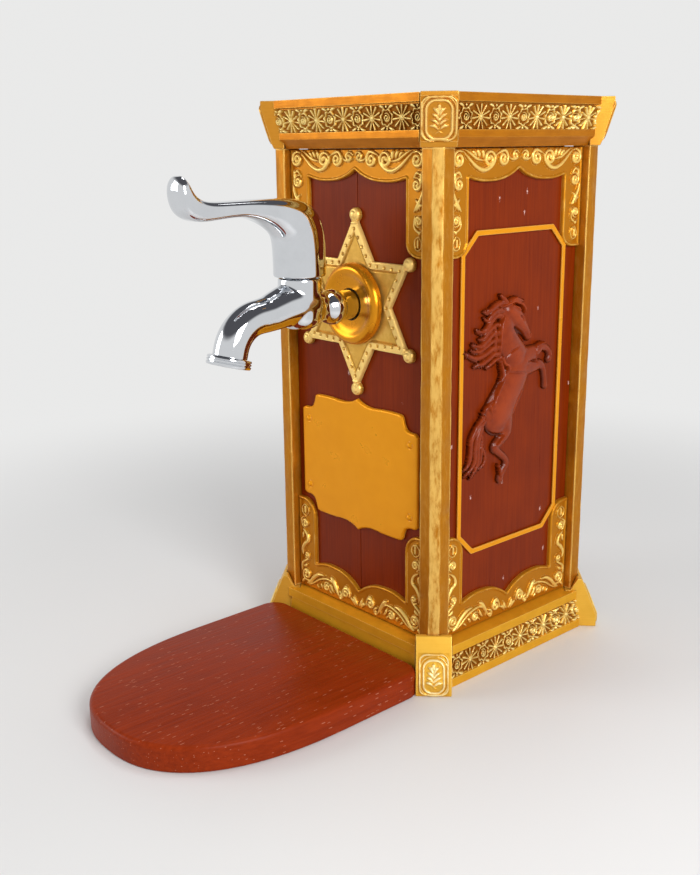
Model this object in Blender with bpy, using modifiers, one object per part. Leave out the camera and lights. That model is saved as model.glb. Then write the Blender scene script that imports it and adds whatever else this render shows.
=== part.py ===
"""Shot dispenser: a square gilt cabinet with a chrome tap standing over a tray.

Metres, +Z up. The tap and the tray face -Y, and the origin is the middle of the cabinet's underside.
"""
import math

import bmesh
import bpy
from mathutils import Matrix, Vector

# Clearances and overruns
GAP = 0.0003
WELD = 0.000005
OVERRUN = 0.002

# Cabinet heights
BASE_HEIGHT = 0.0186
CROWN_HEIGHT = 0.0202

# Corner posts and walls
POST_REACH = 0.0515
POST_WIDTH = 0.0091
POST_CHAMFER = 0.0032
WALL_SETBACK = 0.0052
WALL_THICKNESS = 0.004

# Base rails, from the bottom strip up to the fascia
BASE_LEDGE = 0.0024
BASE_STRIP_OVERHANG = 0.0047
BASE_STRIP_HEIGHT = 0.004
BASE_BAND_OVERHANG = 0.0035
BASE_BAND_LEAN = 0.0014
BASE_GROOVE_DEPTH = 0.0008
BASE_GROOVE_HEIGHT = 0.0006
BASE_FASCIA_OVERHANG = 0.0034
BASE_FASCIA_HEIGHT = 0.0042

# Crown rails, from the sloped underside up to the fascia, with the ledge for the lid
CROWN_INNER_SETBACK = 0.0006
CROWN_FOOT_SETBACK = 0.0015
CROWN_SLOPE_HEIGHT = 0.0038
CROWN_BEAD_OVERHANG = 0.0019
CROWN_BEAD_HEIGHT = 0.0028
CROWN_BAND_OVERHANG = 0.0007
CROWN_BAND_LEAN = 0.0016
CROWN_GROOVE_DEPTH = 0.0008
CROWN_GROOVE_HEIGHT = 0.0007
CROWN_FASCIA_OVERHANG = 0.0034
CROWN_FASCIA_HEIGHT = 0.0034

# Corner blocks, set square to the cabinet's diagonals
CROWN_BLOCK_WIDTH = 0.0142
CROWN_BLOCK_SETBACK = 0.001
CROWN_BLOCK_LEAN = 0.0043
CROWN_BLOCK_FACE_RISE = 0.0027
CROWN_BLOCK_LIP_HEIGHT = 0.0036
CROWN_BLOCK_TUCK = 0.0012
BASE_BLOCK_WIDTH = 0.0154
BASE_BLOCK_OVERHANG = 0.0009
BASE_BLOCK_LEAN = 0.0057
BASE_BLOCK_DEPTH = 0.0097
BASE_BLOCK_FOOT_HEIGHT = 0.006
BASE_BLOCK_FACE_RISE = 0.0017
BASE_BLOCK_LIP_RISE = 0.0058
BASE_BLOCK_LIP_WIDTH = 0.0021
BASE_BLOCK_BEVEL = 0.0018
BASE_BLOCK_SLOPE = 0.0033

# Scroll frames and trims on the walls
FRAME_THICKNESS = 0.0012
FRAME_LEG_WIDTH = 0.0118
UPPER_FRAME_BAND = 0.0119
UPPER_FRAME_LEG = 0.0425
UPPER_CUSP_RISE = 0.0036
LOWER_FRAME_BAND = 0.0144
LOWER_FRAME_LEG = 0.0456
LOWER_CUSP_RISE = 0.0048
LEG_BEVEL_RUN = 0.0077
UPPER_LEG_BEVEL_RISE = 0.006
LOWER_LEG_BEVEL_RISE = 0.0085
TRIM_THICKNESS = 0.001
TRIM_WIDTH = 0.0022
TRIM_PAST_LEG = 0.0032
TRIM_CORNER = 0.009
TRIM_BELOW_UPPER_LEG = 0.0014
TRIM_ABOVE_LOWER_LEG = 0.0034
SCALLOP_SHARES = (
    (0.0, 1.0), (0.05, 0.78), (0.12, 0.45), (0.24, 0.06), (0.38, -0.22), (0.55, -0.34),
    (0.72, -0.33), (0.86, -0.16), (0.95, 0.02), (1.0, 0.1),
)

# Horse relief on the two side walls
HORSE_THICKNESS = 0.0026
HORSE_HEIGHT = 0.083
HORSE_RISE = 0.0025
HORSE_MANE_GAP = 0.0007
HORSE_HOOF_GAP = 0.0099
HORSE_OUTLINE_SHARES = (
    (0.500, 1.000), (0.530, 0.960), (0.585, 0.940), (0.640, 0.895), (0.700, 0.830), (0.748, 0.775),
    (0.738, 0.742), (0.690, 0.732), (0.652, 0.765), (0.600, 0.785), (0.588, 0.745), (0.610, 0.705),
    (0.660, 0.690), (0.740, 0.725), (0.860, 0.760), (0.935, 0.742), (0.968, 0.680), (0.930, 0.625),
    (0.940, 0.572), (0.880, 0.562), (0.872, 0.615), (0.890, 0.668), (0.835, 0.682), (0.770, 0.640),
    (0.820, 0.600), (0.862, 0.545), (0.842, 0.490), (0.785, 0.495), (0.795, 0.540), (0.735, 0.580),
    (0.680, 0.585), (0.655, 0.520), (0.622, 0.455), (0.590, 0.400), (0.600, 0.345), (0.575, 0.295),
    (0.525, 0.245), (0.475, 0.205), (0.520, 0.160), (0.552, 0.125), (0.530, 0.085), (0.530, 0.020),
    (0.440, 0.000), (0.445, 0.060), (0.462, 0.115), (0.415, 0.160), (0.358, 0.200), (0.398, 0.240),
    (0.380, 0.280), (0.320, 0.300), (0.285, 0.340), (0.255, 0.290), (0.268, 0.215), (0.235, 0.145),
    (0.170, 0.100), (0.105, 0.040), (0.000, 0.030), (0.075, 0.095), (0.120, 0.170), (0.125, 0.250),
    (0.155, 0.320), (0.215, 0.385), (0.250, 0.450), (0.300, 0.510), (0.358, 0.565), (0.398, 0.615),
    (0.385, 0.650), (0.320, 0.620), (0.235, 0.605), (0.120, 0.628), (0.215, 0.658), (0.110, 0.660),
    (0.000, 0.700), (0.130, 0.712), (0.075, 0.760), (0.190, 0.758), (0.135, 0.825), (0.235, 0.805),
    (0.195, 0.880), (0.300, 0.850), (0.275, 0.925), (0.370, 0.895), (0.355, 0.965), (0.445, 0.935),
)

# Name plate below the tap, blank
PLATE_THICKNESS = 0.0015
PLATE_SIDE_MARGIN = 0.0045
PLATE_HALF_HEIGHT = 0.0304
PLATE_BELOW_LEG_TIPS = 0.0064
PLATE_QUARTER_SHARES = (
    (1.0, 0.655), (0.955, 0.695), (0.87, 0.70), (0.81, 0.735), (0.775, 0.81), (0.755, 0.89),
    (0.70, 0.925), (0.48, 0.93), (0.24, 0.915), (0.10, 0.945), (0.0, 1.0),
)
PLATE_STUD_RADIUS = 0.0012
PLATE_STUD_HEIGHT = 0.0007
PLATE_STUD_SIDE_MARGIN = 0.0046
PLATE_STUD_TOP_MARGIN = 0.0144

# Star badge behind the tap
STAR_THICKNESS = 0.0023
STAR_TIP_RADIUS = 0.0366
STAR_NOTCH_RADIUS = 0.0212
STAR_BALL_RADIUS = 0.0027
STAR_BALL_PAST_TIP = 0.0009
STAR_POINTS = 6
STAR_ABOVE_PLATE = 0.0017
STAR_PAST_LEG_TIPS = 0.00025

# Ring between the badge and the tap
RING_SHANK_GAP = 0.0006
RING_WIDTH = 0.0106
RING_HEIGHT = 0.0036
RING_PROFILE_SHARES = (
    (1.0, 0.0), (0.97, 0.5), (0.89, 0.85), (0.77, 1.0), (0.62, 0.95), (0.45, 0.75), (0.25, 0.64), (0.0, 0.6),
)

# Tap: each length along the shank follows from the one behind it
BARREL_PAST_SHOULDER = 0.0194
BARREL_WALL = 0.003
BARREL_FLOOR = 0.0014
BARREL_RISE = 0.014
BARREL_FOOT_ROUND = 0.003
NOZZLE_PAST_BARREL = 0.0362
SPOUT_RADIUS = 0.0067
SPOUT_DROP = 0.0192
SPOUT_WALL = 0.0021
SPOUT_BEND_STEPS = 8
SHANK_RADIUS = 0.0063
SHANK_WALL = 0.0023
SHANK_PAST_NUT = 0.0014
SHOULDER_WIDTH = 0.001
SHOULDER_PAST_BADGE = 0.0098
SHOULDER_ROUND = 0.0014
CHAMBER_RADIUS = 0.005
CHAMBER_DEPTH = 0.005
NOZZLE_RING_WIDTH = 0.0014
NOZZLE_RING_HEIGHT = 0.0038
PLUG_PORT = 0.0034
STEM_RADIUS = 0.003
STEM_LENGTH = 0.0152
O_RING_SECTION = 0.00045
O_RING_DROP = 0.0036
BONNET_CLEARANCE = 0.0009
BONNET_HEIGHT = 0.0045
BONNET_SIDES = 6

# Tap handle: the hood that covers the barrel and its lever
HOOD_OVERHANG = 0.0027
HOOD_SIDE_HEIGHT = 0.0135
HOOD_HEIGHT = 0.0296
HOOD_WALL = 0.0025
HOOD_PROFILE_SHARES = (
    (0.0, 1.0), (0.3, 0.97), (0.55, 0.86), (0.76, 0.66), (0.92, 0.36), (1.0, 0.0),
)
LEVER_HALF_WIDTH = 0.0062
LEVER_LENGTH = 0.0584
LEVER_TIP_HEIGHT = 0.0411
LEVER_EDGE_ROUND = 0.0012
LEVER_SHARES = (
    (0.04, 0.50), (0.04, 0.735), (0.12, 0.752), (0.25, 0.760), (0.50, 0.758), (0.72, 0.762),
    (0.80, 0.775), (0.86, 0.815), (0.893, 0.870), (0.905, 0.945), (0.930, 0.990), (0.960, 1.0),
    (0.988, 0.965), (1.0, 0.880), (0.995, 0.770), (0.965, 0.670), (0.90, 0.605), (0.82, 0.590),
    (0.66, 0.596), (0.50, 0.605), (0.42, 0.575), (0.33, 0.505), (0.24, 0.420), (0.16, 0.320),
    (0.10, 0.30),
)
GRUB_RADIUS = 0.0013
GRUB_LENGTH = 0.0055
GRUB_HEIGHT = 0.0104

# Washers and lock nut on the shank
WASHER_THICKNESS = 0.0012
WASHER_WIDTH = 0.0021
LOCK_NUT_WIDTH = 0.0042
LOCK_NUT_THICKNESS = 0.0055
LOCK_NUT_SIDES = 6

# Tank and what carries it
TANK_SIDE_CLEARANCE = 0.0018
TANK_WALL = 0.0025
TANK_BELOW_LID = 0.0048
TANK_EDGE_ROUND = 0.002
SHELF_TOP_BELOW_TAP = 0.0138
SHELF_THICKNESS = 0.005
SHELF_SIDE_CLEARANCE = 0.0018
CLEAT_WIDTH = 0.008
CLEAT_HEIGHT = 0.0077
CLEAT_END_CLEARANCE = 0.0045
FLOOR_THICKNESS = 0.0025

# Lid, dropped into the crown
LID_THICKNESS = 0.004
LID_RIM_WIDTH = 0.0081
LID_LEDGE_BELOW_TOP = 0.0087
LID_FINGER_RADIUS = 0.01
LID_EDGE_ROUND = 0.0006

# Tray in front of the cabinet
TRAY_THICKNESS = 0.011
TRAY_SIDE_SETBACK = 0.0006
TRAY_LENGTH = 0.1228
TRAY_NOSE_LENGTH = 0.0793
TRAY_NOSE_POWER = 2.2
TRAY_NOSE_STEPS = 14
TRAY_CORNER_RADIUS = 0.012
TRAY_EDGE_ROUND = 0.0009
TRAY_SCREW_HALF_SPACING = 0.025
TRAY_SCREW_RADIUS = 0.0015
TRAY_SCREW_HEAD_RADIUS = 0.0025
TRAY_SCREW_HEAD_THICKNESS = 0.002
TRAY_SCREW_LENGTH = 0.03

# Facet counts
ROUND_STEPS = 24
SMALL_STEPS = 12
CORNER_STEPS = 4
O_RING_STEPS = 8

# Sides and corners by name, with the angle that each faces
SIDES = {"front": -90, "right": 0, "back": 90, "left": 180}
CORNERS = {"front_right": -45, "back_right": 45, "back_left": 135, "front_left": 225}

# Finishes: colour, roughness, metallic
GOLD = ((0.63, 0.34, 0.045), 0.38, 0.75)
RED = ((0.2, 0.028, 0.012), 0.35, 0.0)
CHROME = ((0.78, 0.79, 0.8), 0.06, 1.0)
RUBBER = ((0.02, 0.02, 0.02), 0.7, 0.0)
CLEAR_PLASTIC = ((0.72, 0.76, 0.78), 0.25, 0.0)
STEEL = ((0.5, 0.5, 0.52), 0.3, 1.0)

# Reaches that follow from the sizes above
POST_INNER = POST_REACH - POST_WIDTH
POST_DIAGONAL = POST_REACH * math.sqrt(2)
WALL_REACH = POST_REACH - WALL_SETBACK
WALL_INNER = WALL_REACH - WALL_THICKNESS
SKIN_REACH = WALL_REACH + GAP
SKIN_HALF_WIDTH = POST_INNER - GAP
BASE_INNER = POST_INNER - BASE_LEDGE
BASE_STRIP_REACH = POST_REACH + BASE_STRIP_OVERHANG
BASE_BAND_REACH = POST_REACH + BASE_BAND_OVERHANG
BASE_FASCIA_REACH = POST_REACH + BASE_FASCIA_OVERHANG
BASE_BLOCK_TOP_REACH = POST_DIAGONAL + BASE_BLOCK_OVERHANG
BASE_BLOCK_REACH = BASE_BLOCK_TOP_REACH + BASE_BLOCK_LEAN
BASE_BLOCK_BACK = BASE_BLOCK_TOP_REACH - BASE_BLOCK_DEPTH
CROWN_INNER = POST_INNER + CROWN_INNER_SETBACK
CROWN_FOOT_REACH = POST_REACH - CROWN_FOOT_SETBACK
CROWN_BEAD_REACH = POST_REACH + CROWN_BEAD_OVERHANG
CROWN_BAND_REACH = POST_REACH + CROWN_BAND_OVERHANG
CROWN_FASCIA_REACH = POST_REACH + CROWN_FASCIA_OVERHANG
LID_HALF_WIDTH = CROWN_FASCIA_REACH - LID_RIM_WIDTH - GAP
CROWN_BLOCK_FOOT_REACH = POST_DIAGONAL - CROWN_BLOCK_SETBACK
CROWN_BLOCK_REACH = CROWN_BLOCK_FOOT_REACH + CROWN_BLOCK_LEAN
CROWN_BLOCK_BACK = LID_HALF_WIDTH * math.sqrt(2) + GAP
FRAME_INNER_HALF = SKIN_HALF_WIDTH - FRAME_LEG_WIDTH
TRIM_HALF_WIDTH = FRAME_INNER_HALF + TRIM_PAST_LEG
PLATE_HALF_WIDTH = SKIN_HALF_WIDTH - PLATE_SIDE_MARGIN
PLATE_STUD_SPREAD = PLATE_HALF_WIDTH - PLATE_STUD_SIDE_MARGIN
PLATE_STUD_RISE = PLATE_HALF_HEIGHT - PLATE_STUD_TOP_MARGIN
HORSE_WIDTH = 2 * (TRIM_HALF_WIDTH - TRIM_WIDTH) - HORSE_MANE_GAP - HORSE_HOOF_GAP
HORSE_SIDE_SHIFT = (HORSE_HOOF_GAP - HORSE_MANE_GAP) / 2
STAR_BALL_CENTRE_RADIUS = STAR_TIP_RADIUS + STAR_BALL_PAST_TIP
STAR_REACH = STAR_BALL_CENTRE_RADIUS + STAR_BALL_RADIUS
TANK_HALF_WIDTH = WALL_INNER - TANK_SIDE_CLEARANCE
SHELF_HALF_WIDTH = WALL_INNER - SHELF_SIDE_CLEARANCE
CLEAT_HALF_LENGTH = SHELF_HALF_WIDTH - CLEAT_END_CLEARANCE
TRAY_HALF_WIDTH = POST_REACH - TRAY_SIDE_SETBACK
TRAY_BACK = BASE_STRIP_REACH + GAP
TRAY_END = TRAY_BACK + TRAY_LENGTH

# The tap's radii, and its distances from the cabinet's axis
SHANK_BORE = SHANK_RADIUS - SHANK_WALL
SHOULDER_RADIUS = SHANK_RADIUS + SHOULDER_WIDTH
WASHER_RADIUS = SHANK_RADIUS + WASHER_WIDTH
LOCK_NUT_RADIUS = SHANK_RADIUS + LOCK_NUT_WIDTH
RING_BORE = SHANK_RADIUS + RING_SHANK_GAP
RING_OUTER_RADIUS = RING_BORE + RING_WIDTH
SPOUT_BORE = SPOUT_RADIUS - SPOUT_WALL
NOZZLE_RING_RADIUS = SPOUT_RADIUS + NOZZLE_RING_WIDTH
BARREL_RADIUS = CHAMBER_RADIUS + BARREL_WALL
BARREL_DEPTH = CHAMBER_DEPTH + BARREL_FLOOR
HOOD_RADIUS = BARREL_RADIUS + HOOD_OVERHANG
BONNET_RADIUS = HOOD_RADIUS - HOOD_WALL - BONNET_CLEARANCE
RING_SEAT = SKIN_REACH + STAR_THICKNESS + GAP
SHOULDER_DISTANCE = RING_SEAT + SHOULDER_PAST_BADGE
BARREL_DISTANCE = SHOULDER_DISTANCE + BARREL_PAST_SHOULDER
NOZZLE_DISTANCE = BARREL_DISTANCE + NOZZLE_PAST_BARREL
LOCK_NUT_FAR = TANK_HALF_WIDTH - TANK_WALL - WASHER_THICKNESS - 2 * GAP
LOCK_NUT_NEAR = LOCK_NUT_FAR - LOCK_NUT_THICKNESS
SHANK_INNER_END = LOCK_NUT_NEAR - SHANK_PAST_NUT

# Heights, stacked up the front: base, lower frame, plate, badge, upper frame, crown
UPRIGHT_FOOT = BASE_HEIGHT + GAP
PLATE_FOOT = UPRIGHT_FOOT + LOWER_FRAME_LEG - PLATE_BELOW_LEG_TIPS
PLATE_CENTRE_HEIGHT = PLATE_FOOT + PLATE_HALF_HEIGHT
TAP_HEIGHT = PLATE_CENTRE_HEIGHT + PLATE_HALF_HEIGHT + STAR_ABOVE_PLATE + STAR_REACH
STAR_SIDE_TIP_RISE = STAR_BALL_CENTRE_RADIUS * math.cos(2 * math.pi / STAR_POINTS) + STAR_BALL_RADIUS
UPRIGHT_TOP = TAP_HEIGHT + STAR_SIDE_TIP_RISE - STAR_PAST_LEG_TIPS + UPPER_FRAME_LEG
CROWN_FOOT = UPRIGHT_TOP + GAP
TOTAL_HEIGHT = CROWN_FOOT + CROWN_HEIGHT
BASE_BLOCK_FACE_HEIGHT = BASE_HEIGHT + BASE_BLOCK_FACE_RISE
BASE_BLOCK_HEIGHT = BASE_HEIGHT + BASE_BLOCK_LIP_RISE
UPPER_LEG_CORNER = UPRIGHT_TOP - UPPER_FRAME_LEG + UPPER_LEG_BEVEL_RISE
LOWER_LEG_CORNER = UPRIGHT_FOOT + LOWER_FRAME_LEG - LOWER_LEG_BEVEL_RISE
TRIM_CORNER_INSIDE_LEG = TRIM_CORNER - TRIM_PAST_LEG
TRIM_TOP = UPPER_LEG_CORNER - TRIM_BELOW_UPPER_LEG + TRIM_CORNER_INSIDE_LEG
TRIM_FOOT = LOWER_LEG_CORNER + TRIM_ABOVE_LOWER_LEG - TRIM_CORNER_INSIDE_LEG
TRIM_CENTRE_HEIGHT = (TRIM_TOP + TRIM_FOOT) / 2
TRIM_HALF_HEIGHT = (TRIM_TOP - TRIM_FOOT) / 2
HORSE_FOOT_HEIGHT = TRIM_CENTRE_HEIGHT + HORSE_RISE - HORSE_HEIGHT / 2
BARREL_TOP = TAP_HEIGHT + BARREL_RISE
HOOD_FOOT = BARREL_TOP + GAP
PLUG_FOOT = TAP_HEIGHT - CHAMBER_DEPTH + GAP
LEDGE_HEIGHT = TOTAL_HEIGHT - LID_LEDGE_BELOW_TOP
LID_FOOT = LEDGE_HEIGHT + GAP
SHELF_TOP = TAP_HEIGHT - SHELF_TOP_BELOW_TAP
TANK_FOOT = SHELF_TOP + GAP
TANK_TOP = LID_FOOT - TANK_BELOW_LID


def remove_start_objects():
    """Empties the scene that the script starts from."""
    for item in list(bpy.data.objects):
        bpy.data.objects.remove(item, do_unlink=True)


def new_collection(name):
    """A collection of its own, linked to the scene."""
    collection = bpy.data.collections.new(name)
    bpy.context.scene.collection.children.link(collection)
    return collection


def new_finish(name, finish):
    """A Principled material from a colour, a roughness and a metallic value."""
    colour, roughness, metallic = finish
    material = bpy.data.materials.new(name)
    material.use_nodes = True
    shader = material.node_tree.nodes["Principled BSDF"]
    shader.inputs["Base Color"].default_value = (*colour, 1.0)
    shader.inputs["Roughness"].default_value = roughness
    shader.inputs["Metallic"].default_value = metallic
    material.diffuse_color = (*colour, 1.0)
    return material


def weld(mesh):
    """Joins points that lie together and turns every face outwards."""
    bm = bmesh.new()
    bm.from_mesh(mesh)
    bmesh.ops.remove_doubles(bm, verts=bm.verts, dist=WELD)
    bmesh.ops.recalc_face_normals(bm, faces=bm.faces)
    bm.to_mesh(mesh)
    bm.free()
    return mesh


def evaluated_mesh(item):
    """The mesh that an object's curve or modifiers give, welded, with the object removed."""
    bpy.context.scene.collection.objects.link(item)
    depsgraph = bpy.context.evaluated_depsgraph_get()
    mesh = bpy.data.meshes.new_from_object(item.evaluated_get(depsgraph))
    mesh.name = item.name
    bpy.data.objects.remove(item, do_unlink=True)
    return weld(mesh)


def plate_mesh(name, outlines, thickness):
    """A flat plate bounded by closed outlines, half its thickness either side of its XY plane."""
    curve = bpy.data.curves.new(name, "CURVE")
    curve.dimensions = "2D"
    curve.fill_mode = "BOTH"
    curve.extrude = thickness / 2
    for outline in outlines:
        spline = curve.splines.new("POLY")
        spline.points.add(len(outline) - 1)
        for point, (x, y) in zip(spline.points, outline):
            point.co = (x, y, 0, 1)
        spline.use_cyclic_u = True
    return evaluated_mesh(bpy.data.objects.new(name, curve))


def tube_mesh(name, points, radius):
    """A round tube with filled ends along a row of points."""
    curve = bpy.data.curves.new(name, "CURVE")
    curve.dimensions = "3D"
    curve.bevel_depth = radius
    curve.bevel_resolution = 3
    curve.use_fill_caps = True
    spline = curve.splines.new("POLY")
    spline.points.add(len(points) - 1)
    for target, point in zip(spline.points, points):
        target.co = (*point, 1)
    return evaluated_mesh(bpy.data.objects.new(name, curve))


def turned_mesh(name, profile, steps):
    """A solid turned about Z from a profile that runs down its outer side."""
    mesh = bpy.data.meshes.new(name)
    edges = [(index, index + 1) for index in range(len(profile) - 1)]
    mesh.from_pydata([(radius, 0, height) for radius, height in profile], edges, [])
    item = bpy.data.objects.new(name, mesh)
    screw = item.modifiers.new("turn", "SCREW")
    screw.axis = "Z"
    screw.steps = steps
    screw.render_steps = steps
    screw.use_merge_vertices = True
    screw.merge_threshold = WELD
    return evaluated_mesh(item)


def ring_profile(inner, outer, low, high):
    """The closed profile of a plain ring or sleeve."""
    return [(inner, high), (outer, high), (outer, low), (inner, low), (inner, high)]


def rod_profile(radius, low, high):
    """The profile of a plain round bar."""
    return [(0, high), (radius, high), (radius, low), (0, low)]


def box_mesh(name, low, high):
    """A box between two corners."""
    low, high = Vector(low), Vector(high)
    bm = bmesh.new()
    matrix = Matrix.Translation((low + high) / 2) @ Matrix.Diagonal((*(high - low), 1))
    bmesh.ops.create_cube(bm, size=1, matrix=matrix)
    mesh = bpy.data.meshes.new(name)
    bm.to_mesh(mesh)
    bm.free()
    return mesh


def profile_frame(angle):
    """Local X points out at an angle about Z, local Y is up, and local Z runs along the side."""
    out = Vector((math.cos(math.radians(angle)), math.sin(math.radians(angle)), 0))
    up = Vector((0, 0, 1))
    along = out.cross(up)
    return Matrix((out, up, along)).transposed().to_4x4()


def face_frame(angle, reach):
    """Local X runs along a wall, to the right as seen from outside, local Y is up, local Z is out."""
    out = Vector((math.cos(math.radians(angle)), math.sin(math.radians(angle)), 0))
    up = Vector((0, 0, 1))
    right = up.cross(out)
    return Matrix.Translation(out * reach) @ Matrix((right, up, out)).transposed().to_4x4()


def shank_frame():
    """Local Z runs along the tap's shank towards the front, from the cabinet's axis."""
    return Matrix.Translation((0, 0, TAP_HEIGHT)) @ Matrix.Rotation(math.radians(90), 4, "X")


def barrel_frame():
    """Local Z is the tap's upright axis, which the handle turns on."""
    return Matrix.Translation((0, -BARREL_DISTANCE, 0))


def mirrored(half):
    """A closed outline from its right half, which runs from one end on the middle line to the other."""
    left = [(-x, y) for x, y in reversed(half) if x > WELD]
    return list(half) + left


class Bench:
    """Holds the two collections and adds parts, cutters and their Boolean modifiers."""

    def __init__(self):
        self.parts = new_collection("shot_dispenser")
        self.cutters = new_collection("cutters")

    def part(self, name, mesh, finish, matrix=None, round_angle=None):
        """Adds one sub-part with a finish of its own."""
        item = bpy.data.objects.new(name, mesh)
        item.matrix_world = matrix or Matrix.Identity(4)
        mesh.materials.clear()
        mesh.materials.append(new_finish(name + "_finish", finish))
        if round_angle:
            mesh.shade_smooth()
            mesh.set_sharp_from_angle(angle=math.radians(round_angle))
        self.parts.objects.link(item)
        return item

    def cutter(self, name, mesh, matrix=None):
        """Adds a solid that only cuts or joins."""
        item = bpy.data.objects.new(name, mesh)
        item.matrix_world = matrix or Matrix.Identity(4)
        item.hide_render = True
        item.display_type = "WIRE"
        self.cutters.objects.link(item)
        return item

    @staticmethod
    def combine(item, other, operation="DIFFERENCE", solver="EXACT"):
        """Cuts or joins a part with another solid."""
        modifier = item.modifiers.new(other.name, "BOOLEAN")
        modifier.operation = operation
        modifier.object = other
        modifier.solver = solver


def post_section(grow):
    """A corner post's section in plan at the front right corner, grown on every side."""
    inner = POST_INNER - grow
    outer = POST_REACH + grow
    facet = POST_REACH - POST_CHAMFER + grow * math.tan(math.radians(22.5))
    return [(inner, -inner), (inner, -outer), (facet, -outer), (outer, -facet), (outer, -inner)]


def build_posts(bench):
    """The four corner posts, and their grown copies that shape the base blocks."""
    height = UPRIGHT_TOP - UPRIGHT_FOOT
    middle = (UPRIGHT_TOP + UPRIGHT_FOOT) / 2
    for name, angle in CORNERS.items():
        matrix = Matrix.Rotation(math.radians(angle - CORNERS["front_right"]), 4, "Z")
        matrix = matrix @ Matrix.Translation((0, 0, middle))
        bench.part("corner_post_" + name, plate_mesh("post", [post_section(0)], height), GOLD, matrix)
        grown = plate_mesh("post_room", [post_section(GAP)], height + 2 * GAP)
        bench.cutter("post_room_" + name, grown, matrix)


def build_walls(bench, shank_hole):
    """The two front boards, which meet at a seam, and the three plain walls."""
    for name, low, high in (("left", -SKIN_HALF_WIDTH, -GAP / 2), ("right", GAP / 2, SKIN_HALF_WIDTH)):
        mesh = box_mesh("board", (low, -WALL_REACH, UPRIGHT_FOOT), (high, -WALL_INNER, UPRIGHT_TOP))
        board = bench.part("front_board_" + name, mesh, RED)
        bench.combine(board, shank_hole)
    for name in ("right", "back", "left"):
        low = (-SKIN_HALF_WIDTH, UPRIGHT_FOOT, -WALL_THICKNESS)
        mesh = box_mesh("wall", low, (SKIN_HALF_WIDTH, UPRIGHT_TOP, 0))
        bench.part(name + "_wall", mesh, RED, face_frame(SIDES[name], WALL_REACH))


def base_rail_outline():
    """The base rail's section: distance out, height."""
    band_top = BASE_HEIGHT - BASE_FASCIA_HEIGHT - BASE_GROOVE_HEIGHT
    band_top_reach = BASE_BAND_REACH - BASE_BAND_LEAN
    groove = band_top_reach - BASE_GROOVE_DEPTH
    return [
        (BASE_INNER, 0),
        (BASE_STRIP_REACH, 0),
        (BASE_STRIP_REACH, BASE_STRIP_HEIGHT),
        (BASE_BAND_REACH, BASE_STRIP_HEIGHT),
        (band_top_reach, band_top),
        (groove, band_top),
        (groove, band_top + BASE_GROOVE_HEIGHT),
        (BASE_FASCIA_REACH, band_top + BASE_GROOVE_HEIGHT),
        (BASE_FASCIA_REACH, BASE_HEIGHT),
        (BASE_INNER, BASE_HEIGHT),
    ]


def crown_rail_outline():
    """The crown rail's section: distance out, height. The inner step is the lid's ledge."""
    bead_foot = CROWN_FOOT + CROWN_SLOPE_HEIGHT
    band_foot = bead_foot + CROWN_BEAD_HEIGHT
    fascia_foot = TOTAL_HEIGHT - CROWN_FASCIA_HEIGHT
    band_top = fascia_foot - CROWN_GROOVE_HEIGHT
    band_top_reach = CROWN_BAND_REACH + CROWN_BAND_LEAN
    groove = band_top_reach - CROWN_GROOVE_DEPTH
    lid_room = LID_HALF_WIDTH + GAP
    return [
        (CROWN_INNER, CROWN_FOOT),
        (CROWN_FOOT_REACH, CROWN_FOOT),
        (CROWN_BEAD_REACH, bead_foot),
        (CROWN_BEAD_REACH, band_foot),
        (CROWN_BAND_REACH, band_foot),
        (band_top_reach, band_top),
        (groove, band_top),
        (groove, fascia_foot),
        (CROWN_FASCIA_REACH, fascia_foot),
        (CROWN_FASCIA_REACH, TOTAL_HEIGHT),
        (lid_room, TOTAL_HEIGHT),
        (lid_room, LEDGE_HEIGHT),
        (CROWN_INNER, LEDGE_HEIGHT),
    ]


def mitred_rail_mesh(name, outline):
    """A rail whose two ends are mitred at 45 degrees, with half a gap left at each mitre."""
    reach = max(out for out, _ in outline)
    mesh = plate_mesh(name, [outline], 2 * (reach + OVERRUN))
    bm = bmesh.new()
    bm.from_mesh(mesh)
    for end in (1, -1):
        normal = Vector((-1, 0, end)).normalized()
        geometry = bm.verts[:] + bm.edges[:] + bm.faces[:]
        bmesh.ops.bisect_plane(
            bm, geom=geometry, dist=WELD, plane_co=-normal * GAP / 2, plane_no=normal, clear_outer=True
        )
        rim = [edge for edge in bm.edges if edge.is_boundary]
        bmesh.ops.holes_fill(bm, edges=rim, sides=0)
    bmesh.ops.recalc_face_normals(bm, faces=bm.faces)
    bm.to_mesh(mesh)
    bm.free()
    return mesh


def block_room(bench, name, angle, width, back, low, high):
    """A cutter that clears the rails for one corner block."""
    half = width / 2 + GAP
    mesh = box_mesh(name, (back - GAP, low - OVERRUN, -half), (2 * back, high + OVERRUN, half))
    return bench.cutter(name, mesh, profile_frame(angle))


def build_rails(bench, kind, outline, width, back, low, high):
    """Four mitred rails, each cleared at both ends for the corner blocks."""
    rooms = {
        name: block_room(bench, kind + "_room_" + name, angle, width, back, low, high)
        for name, angle in CORNERS.items()
    }
    rails = {}
    for side, angle in SIDES.items():
        mesh = mitred_rail_mesh(kind + "_rail", outline)
        rail = bench.part(kind + "_rail_" + side, mesh, GOLD, profile_frame(angle))
        for corner, room in rooms.items():
            if side in corner.split("_"):
                bench.combine(rail, room)
        rails[side] = rail
    return rails


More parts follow.
